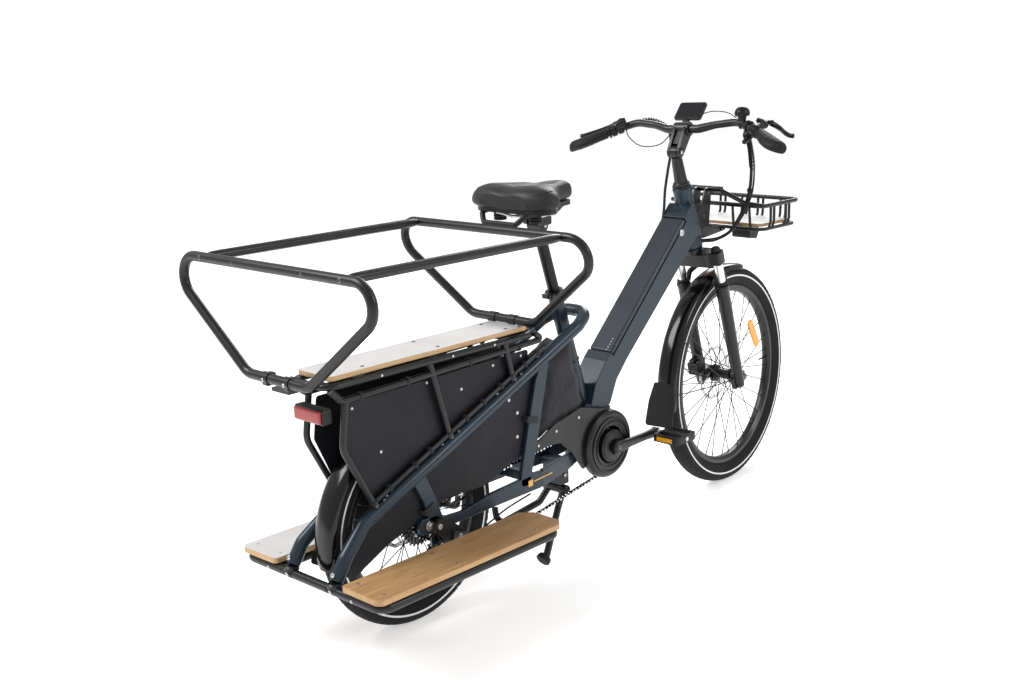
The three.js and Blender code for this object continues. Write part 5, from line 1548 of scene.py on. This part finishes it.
def build_fork():
    crown = Shape()
    top = [(-84, -4), (-84, 30), (-60, 36), (60, 36), (84, 30), (84, -4), (52, -8), (44, -20), (-44, -20),
           (-52, -8)]
    crown.add(on_fork(prism(fillet2d(top, 7, 4), -245, -206, "z")))
    crown.add(spin([(14, -206), (14, 5)], HEAD_TOP, STEER_AXIS, 32))
    crown.add(spin([(24, -207), (25, -204), (25, -190), (22, -188)], HEAD_TOP, STEER_AXIS, 36))
    make("fork_crown", crown, [BLACK], body="steering", nodes=["fork_crown"], bevel=3)
    legs = Shape()
    for s in (1, -1):
        legs.add(rod(fork(s * LEG_X, LEG_FORWARD, -520), fork(s * LEG_X, LEG_FORWARD, -215), 14, sides=40))
    make("fork_stanchions", legs, [CHROME], body="steering")
    knobs = Shape()
    for s in (1, -1):
        start = fork(s * LEG_X, LEG_FORWARD, -206)
        knobs.add(spin([(13, 0), (14, 2), (14, 8), (11, 12), (4, 12.6)], start, STEER_AXIS, 18))
    make("fork_knobs", knobs, [PLASTIC], body="steering", bevel=0.6)
    lowers = Shape()
    for s in (1, -1):
        base = fork(s * LEG_X, LEG_FORWARD, 0)
        lowers.add(spin([(12, -664), (16.5, -660), (17.5, -640), (17.8, -560), (19.5, -400), (20, -330),
                         (21.5, -326), (21.5, -318), (18, -315), (15.2, -315)], base, STEER_AXIS, 40))
        lug = fillet2d([(-10, -666), (AXLE_FORWARD + 14, -664), (AXLE_FORWARD + 15, -630),
                        (AXLE_FORWARD - 14, -626), (-6, -600)], 8, 4)
        lowers.add(on_fork(side_plate(lug, s, 53, 66)))
        dust = spin([(15, -315), (19, -313), (18, -306), (15.4, -304)], base, STEER_AXIS, 32)
        lowers.add(dust, 1)
    arch = [(-LEG_X, 26, -342), (-60, 46, -296), (-34, 56, -276), (34, 56, -276), (60, 46, -296),
            (LEG_X, 26, -342)]
    path = [fork(*p) for p in bend(arch, 26, 8)]
    lowers.add(sweep(path, 8.2, 18))
    make("fork_lowers", lowers, [BLACK, RUBBER], body="fork_lowers", nodes=["fork_lowers"], bevel=2)
    nuts = Shape()
    for s in (1, -1):
        spot = fork(s * 66, AXLE_FORWARD, -AXLE_DOWN)
        nuts.add(spin([(13, 0), (13, 1.5), (9.5, 2), (9.5, 8), (6, 10)], spot, (s, 0, 0), 24))
    make("front_axle_nuts", nuts, [DARK_STEEL], body="fork_lowers")
    caliper = Shape()
    for (x0, x1, f0, f1, u0, u1) in ((-60, -44, -54, 0, -604, -556), (-36, -28, -50, -6, -600, -560)):
        outline = fillet2d([(f0, u0), (f1, u0 + 4), (f1, u1), (f0 + 8, u1)], 8, 4)
        caliper.add(on_fork(prism(outline, x0, x1)))
    bridge = fillet2d([(-58, -600), (-46, -600), (-46, -560), (-58, -560)], 4, 3)
    caliper.add(on_fork(prism(bridge, -60, -28)))
    for up in (-592, -566):
        caliper.add(bolt(fork(-60, -26, up), (-1, 0, 0), 5, 3), 1)
    make("front_caliper", caliper, [ALLOY_BLACK, STEEL], body="fork_lowers", bevel=1.4)


# ---- stem and bars
def build_stem():
    stem = Shape()
    stem.add(spin([(22, 5.8), (24, 7), (24, 14), (19, 18), (18, 30), (16, 80), (14, 92)], HEAD_TOP,
                  STEER_AXIS, 40))
    stem.add(spin([(16, -11), (17, -10), (17, 10), (16, 11)], (0, *KINK), ACROSS, 36))
    make("stem", stem, [BLACK], body="steering", nodes=["stem"], bevel=1)
    head = Shape()
    for s in (1, -1):
        lo, hi = sorted((s * 11.4, s * 20))
        head.add(spin([(14, lo), (16, lo + 1), (16, hi - 1), (14, hi)], (0, *KINK), ACROSS, 36))
        arm = fillet2d([(KINK[0] - 13, KINK[1] + 8), (CLAMP[0] - 18, CLAMP[1] + 12),
                        (CLAMP[0] + 12, CLAMP[1] - 14), (KINK[0] + 14, KINK[1] - 6)], 6, 3)
        head.add(prism(arm, lo, hi))
        head.add(bolt((s * 20, *KINK), (s, 0, 0), 6, 3.4), 1)
        head.add(bolt((s * 18, CLAMP[0] + 16, CLAMP[1] + 10), (0, 0.8, 0.6), 4, 3), 1)
    along = unit(vec(0, CLAMP[0] - KINK[0], CLAMP[1] - KINK[1]))
    low = vec(0, *KINK) + along * 19.5
    solid = rounded_rect(-19.5, 19.5, -11, 13, 7, 4)
    head.add(sweep([low, low + along * 25, vec(0, *CLAMP) - along * 4], 1.0, section=solid, up=UP))
    head.add(spin([(18, -25), (20, -23), (20, 23), (18, 25)], (0, *CLAMP), ACROSS, 40))
    make("stem_head", head, [BLACK, ALLOY], body="cockpit", nodes=["stem_head"], bevel=1.4)
    half = [(345, 1046, 1058), (222, 1111, 1105), (165, 1131, 1122), (100, 1124, 1115), (50, *CLAMP)]
    left = [(-x, y, z) for x, y, z in half]
    bar_path = bend(left + list(reversed(half)), 60, 10)
    radii = [12.4 if abs(p[0]) < 60 else 11.0 for p in bar_path]
    bar = Shape().add(sweep(bar_path, radii, 28))
    make("handlebar", bar, [BLACK], body="cockpit", nodes=["handlebar"])


def pair(name, shape_of, materials, body, bevel=0.0, angle=SHARP_ANGLE):
    """The same piece on both ends of the bars."""
    for s, side in ((1, "right"), (-1, "left")):
        shape = Shape()
        for part, kind in shape_of():
            shape.add(part if s > 0 else mirror(part), kind)
        make(name + "_" + side, shape, materials, body=body.replace("*", side),
             nodes=[name + "_" + side], bevel=bevel, angle=angle)


def grip_parts():
    """A shaped grip: a round sleeve that widens into a palm rest behind the bar."""
    rows = 26
    sides = 24
    points = []
    for t in np.linspace(0, 1, rows):
        centre = on_grip(28 + 127 * t)
        palm = max(0.0, math.sin(math.pi * min(1.0, max(0.0, (t - 0.12) / 0.8)))) ** 0.8
        palm = palm * (0.55 + 0.9 * t)
        end = min(1.0, (1 - t) * 9 + 0.55, t * 12 + 0.6)
        for a in circle(sides):
            back = max(0.0, -math.cos(a)) ** 1.6
            r = 16 + 0.8 * math.cos(2 * math.pi * t * 7) * 0.35
            r = (r + 17 * palm * back) * end
            squash_z = 1 - 0.35 * palm * back
            points.append(centre + GRIP_AHEAD * (r * math.cos(a))
                          + vec(*UP) * (r * math.sin(a) * squash_z - 3.5 * palm * back))
    yield (points, skin(rows, sides)), 0
    yield spin([(13, -1), (18.5, 0), (18.5, 3.5), (15, 5)], on_grip(26), GRIP_DIR, 32), 1


def lever_parts():
    yield spin([(15.5, 0), (17, 1.5), (17, 14), (15.5, 16)], on_grip(6), GRIP_DIR, 30), 0
    yield sweep(smooth_path([on_grip(14, 8, 4), on_grip(12, 24, 9), on_grip(9, 40, 14)], 6), 9, 16), 0
    yield sweep([on_grip(20, 30, 12), on_grip(6, 32, 14), on_grip(-18, 32, 14)], [9, 11, 8.5], 20), 0
    yield bolt(on_grip(10, 17, 14), UP, 4, 3), 1


def blade_parts():
    path = smooth_path([on_grip(12, 52, 16), on_grip(30, 58, 14), on_grip(58, 57, 14),
                        on_grip(90, 49, 16), on_grip(112, 47, 18), on_grip(128, 52, 21)], 6)
    radii = list(np.linspace(6.4, 4.6, len(path) - 2)) + [5.2, 3.6]
    yield sweep(path, radii, section=oval(0.72, 1.3)), 0
    yield spin([(8, -5.5), (9, -4), (9, 4), (8, 5.5)], on_grip(12, 52, 18), UP, 24), 0


def build_controls():
    pair("grip", grip_parts, [RUBBER, ALLOY_BLACK], "cockpit", angle=70)
    pair("lever_body", lever_parts, [ALLOY_BLACK, STEEL], "cockpit", bevel=0.8)
    pair("brake_lever", blade_parts, [ALLOY_BLACK], "brake_lever_*")
    tilt = math.radians(46)
    c, s = math.cos(tilt), math.sin(tilt)
    across, along, out = vec(*ACROSS), vec(0, c, s), vec(0, -s, c)
    shell = Shape()
    shell.add(moved(prism(rounded_rect(-44, 44, -31, 31, 8, 6), -5, 4.5, "z"), (0, 1155, 1151), across,
                    along, out))
    shell.add(rod((0, 1131, 1124), (0, 1152, 1140), 8, 5, 20))
    shell.add(sweep([(-10, CLAMP[0] + 16, CLAMP[1] + 19), (10, CLAMP[0] + 16, CLAMP[1] + 19)], 6, 18))
    make("display", shell, [PLASTIC], body="cockpit", nodes=["display"], bevel=2)
    glass = Shape().add(moved(prism(rounded_rect(-40, 40, -25, 27, 5, 5), 4.4, 5.4, "z"),
                              (0, 1155, 1151), across, along, out))
    make("display_glass", glass, [SCREEN], body="cockpit", bevel=0.4)
    pad = Shape()
    pad.add(mirror(spin([(15.5, 0), (16.5, 1), (16.5, 15), (15.5, 16)], on_grip(-14), GRIP_DIR, 28)))
    face = sweep([on_grip(-26, -14, 14), on_grip(-11, -16, 14), on_grip(5, -18, 12)], [12, 14, 11], 20)
    pad.add(mirror(face))
    make("control_pad", pad, [PLASTIC], body="cockpit", nodes=["control_pad"], bevel=1)
    button = Shape()
    button.add(mirror(spin([(6, 1), (6, 7), (5, 8.2), (2.5, 8.6)], on_grip(-12, -16, 20), UP, 24)))
    make("control_button", button, [RUBBER], body="control_button", nodes=["control_button"])
    shifter = Shape()
    shifter.add(spin([(15.5, 0), (16.5, 1), (16.5, 11), (15.5, 12)], on_grip(-24), GRIP_DIR, 28))
    shifter.add(sweep([on_grip(-24, 4, -20), on_grip(-18, -2, -25), on_grip(-12.6, -7.6, -29.5)],
                      [13, 15.5, 12], 24))
    shifter.add(rod(on_grip(-18, 2, -10), on_grip(-18, 0, -24), 8))
    make("shifter", shifter, [PLASTIC], body="cockpit", nodes=["shifter"], bevel=1)
    paddle = Shape()
    paddle.add(rod(on_grip(-11.4, -8.6, -30.5), on_grip(-6, -13.4, -35), 8))
    thumb = smooth_path([on_grip(-7, -12, -34), on_grip(0, -20, -33), on_grip(12, -34, -30)], 5)
    paddle.add(sweep(thumb, [5] * (len(thumb) - 2) + [7, 5.5], 14))
    make("shift_paddle", paddle, [PLASTIC], body="shift_paddle", nodes=["shift_paddle"])
    bell = Shape()
    place = vec(184, 1124, 1142)
    curve = [math.radians(d) for d in range(10, 90, 10)]
    cap = [(21.5 * math.cos(t), 3 + 20 * math.sin(t)) for t in curve]
    bell.add(spin([(18, -4), (20, -3), (21, 0), (21.5, 3), *cap, (2, 23)], place, UP, 40))
    bell.add(rod(place + vec(0, 0, -14), place, 11, 13, 20), 1)
    band = [(11.4, -8), (14, -6.5), (14, 6.5), (11.4, 8)]
    bell.add(spin(band, place + vec(0, 0, -25), (1, 0.1, 0.05), 24, closed=True), 1)
    make("bell", bell, [ALLOY_BLACK, PLASTIC], body="cockpit", nodes=["bell"])


# ---- cables
def steered_place(p):
    """Where a point of the bars is in the scene, once the steering is turned."""
    return tuple(to_scene(turned_by_steering(np.array([p], float))[0]))


def build_cables():
    """Brake, gear and lamp leads, drawn with the steering turned; only the short wires on the bars move
    with the cockpit.
    """
    bundle = [(172, 1166, 1092), (168, 1196, 1050), (160, 1222, 990), (146, 1236, 920), (120, 1240, 860),
              (88, 1228, 806), (58, 1206, 780), (30, 1176, 776), (14, 1152, 782)]
    sleeve = Shape()
    lower = Shape()
    split = 5 * 8
    offsets = ((0, 0, 0), (10, -4, 3), (-8, 5, -4), (3, 9, 7))
    for dx, dy, dz in offsets:
        path = []
        for i, p in enumerate(bundle):
            t = math.sin(math.pi * i / (len(bundle) - 1))
            path.append(vec(*p) + vec(dx, dy, dz) * (0.3 + 0.8 * t))
        full = smooth_path(path, 8)
        sleeve.add(sweep(full[:split + 1], 2.5, 12))
        lower.add(sweep(full[split:], 2.5, 12))
    coil = [p + vec(math.cos(0.62 * i), 0, math.sin(0.62 * i)) * 8.2
            for i, p in enumerate(smooth_path(bundle[:3], 60))]
    sleeve.add(sweep(coil, 1.5, 8), 1)
    mid = vec(*bundle[3])
    sleeve.add(spin([(8.6, -4), (9.6, -3), (9.6, 3), (8.6, 4)], mid, vec(*bundle[4]) - mid, 20), 1)
    obj = make("cable_bundle", sleeve, [CABLE, RUBBER], nodes=["cable_bundle"], steered=True,
               ride=False)
    steered_place(bundle[0])
    steered_place(bundle[3])
    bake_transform(obj)
    end = make("cable_bundle_low", lower, [CABLE], steered=True, ride=False)
    steered_place(bundle[5])
    steered_place(bundle[8])
    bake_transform(end)
    left = [(-206, 1126, 1104), (-176, 1142, 1122), (-140, 1148, 1127), (-104, 1144, 1122),
            (-66, 1138, 1108), (-42, 1116, 1050), (-36, 1086, 985), (-40, 1076, 930), (-41, 1070, 878),
            (-37, 1052, 838)]
    full = smooth_path(left, 8)
    split = 6 * 8
    wrap = Shape()
    lower = Shape()
    for shift in ((0, 0, 0), (-5, 3, 2)):
        wrap.add(sweep([p + vec(*shift) for p in full[:split + 1]], 2.5, 12))
        lower.add(sweep([p + vec(*shift) for p in full[split:]], 2.5, 12))
    coil = []
    for i, p in enumerate(smooth_path(left[1:5], 40)):
        a = 0.62 * i
        coil.append(p + vec(-2.5, 1.5 + math.cos(a) * 6.4, 1 + math.sin(a) * 6.4))
    wrap.add(sweep(coil, 1.5, 8), 1)
    hose = make("left_cables", wrap, [CABLE, RUBBER], steered=True, ride=False)
    steered_place(left[3])
    steered_place(left[6])
    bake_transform(hose)
    tail = make("left_cables_low", lower, [CABLE], steered=True, ride=False)
    steered_place(left[6])
    steered_place(left[9])
    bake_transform(tail)
    wires = Shape()
    wires.add(sweep(smooth_path([(34, 1152, 1142), (70, 1160, 1150), (120, 1156, 1146), (160, 1140, 1130),
                                 (186, 1134, 1116)], 8), 1.4, 10))
    wires.add(sweep(smooth_path([(-196, 1110, 1112), (-180, 1104, 1082), (-140, 1108, 1056),
                                 (-84, 1118, 1060), (-40, 1116, 1094), (-16, 1124, 1116)], 8), 1.5, 10))
    make("bar_wires", wires, [CABLE], body="cockpit")


for build in (build_main_frame, build_battery, build_motor, build_rails, build_stays, build_rack,
              build_boards, build_cage, build_panels, build_bag, build_mudguards, build_lights,
              build_basket, build_wheels, build_cassette, build_chain, build_derailleur,
              build_chain_cover, build_crank, build_pedals, build_stand, build_seat, build_saddle,
              build_fork, build_stem, build_controls, build_cables):
    build()


# ------------------------------------------------------------------ studio
def build_studio():
    """A pale floor that hardly shades, a bright backdrop and three soft lamps."""
    floor_mesh = bpy.data.meshes.new("floor")
    floor_mesh.from_pydata([(-30, -30, 0), (30, -30, 0), (30, 30, 0), (-30, 30, 0)], [], [(0, 1, 2, 3)])
    floor = placed("floor", floor_mesh)
    paper = finish("floor", (0.90, 0.90, 0.90), 0.9, 0.0, 60, 0.0, 0.01, specular=0.1)
    shader = paper.node_tree.nodes["Principled BSDF"]
    shader.inputs["Emission Color"].default_value = (1, 1, 1, 1)
    shader.inputs["Emission Strength"].default_value = 0.46
    floor_mesh.materials.append(paper)
    world = bpy.data.worlds.new("studio")
    world.use_nodes = True
    background = world.node_tree.nodes["Background"]
    background.inputs["Color"].default_value = (1.0, 1.0, 1.0, 1)
    path = world.node_tree.nodes.new("ShaderNodeLightPath")
    level = world.node_tree.nodes.new("ShaderNodeMapRange")
    level.inputs["To Min"].default_value = 0.60
    level.inputs["To Max"].default_value = 1.06
    world.node_tree.links.new(path.outputs["Is Camera Ray"], level.inputs["Value"])
    world.node_tree.links.new(level.outputs["Result"], background.inputs["Strength"])
    bpy.context.scene.world = world
    lights = [("key", (-2.6, -3.2, 4.6), 2.6, 190), ("side", (4.4, 1.6, 3.4), 1.6, 60),
              ("back", (-2.0, 4.2, 3.4), 2.2, 110)]
    for name, place, size, power in lights:
        data = bpy.data.lights.new(name, "AREA")
        data.size = size
        data.energy = power
        lamp = placed(name, data)
        lamp.location = place
        lamp.rotation_euler = (Vector((0, 0, 0.5)) - Vector(place)).to_track_quat("-Z", "Y").to_euler()


CAMERA_PLACE = vec(2191.56, -1909.26, 1370.02)
CAMERA_LENS, CAMERA_SHIFT = 45.22, (-0.0111, 0.0314)
CAMERA_YAW, CAMERA_PITCH, CAMERA_ROLL = (math.radians(a) for a in (-43.42, -14.63, -1.73))


def build_camera():
    """The camera looks from behind on the right; its yaw is measured from straight ahead."""
    yaw, pitch, roll = CAMERA_YAW, CAMERA_PITCH, CAMERA_ROLL
    ahead = vec(math.sin(yaw) * math.cos(pitch), math.cos(yaw) * math.cos(pitch), math.sin(pitch))
    level = vec(math.cos(yaw), -math.sin(yaw), 0)
    up = np.cross(level, ahead)
    right = level * math.cos(roll) + up * math.sin(roll)
    top = up * math.cos(roll) - level * math.sin(roll)
    place = to_scene(CAMERA_PLACE)
    camera_data = bpy.data.cameras.new("camera")
    camera_data.lens = CAMERA_LENS
    camera_data.sensor_width = 36.0
    camera_data.shift_x, camera_data.shift_y = CAMERA_SHIFT
    camera_data.clip_end = 100
    camera = placed("camera", camera_data)
    m = Matrix.Identity(4)
    for row in range(3):
        m[row][0], m[row][1], m[row][2], m[row][3] = right[row], top[row], -ahead[row], place[row]
    camera.matrix_world = m
    bpy.context.scene.camera = camera


build_studio()
build_camera()
bpy.context.scene.view_settings.view_transform = "Standard"
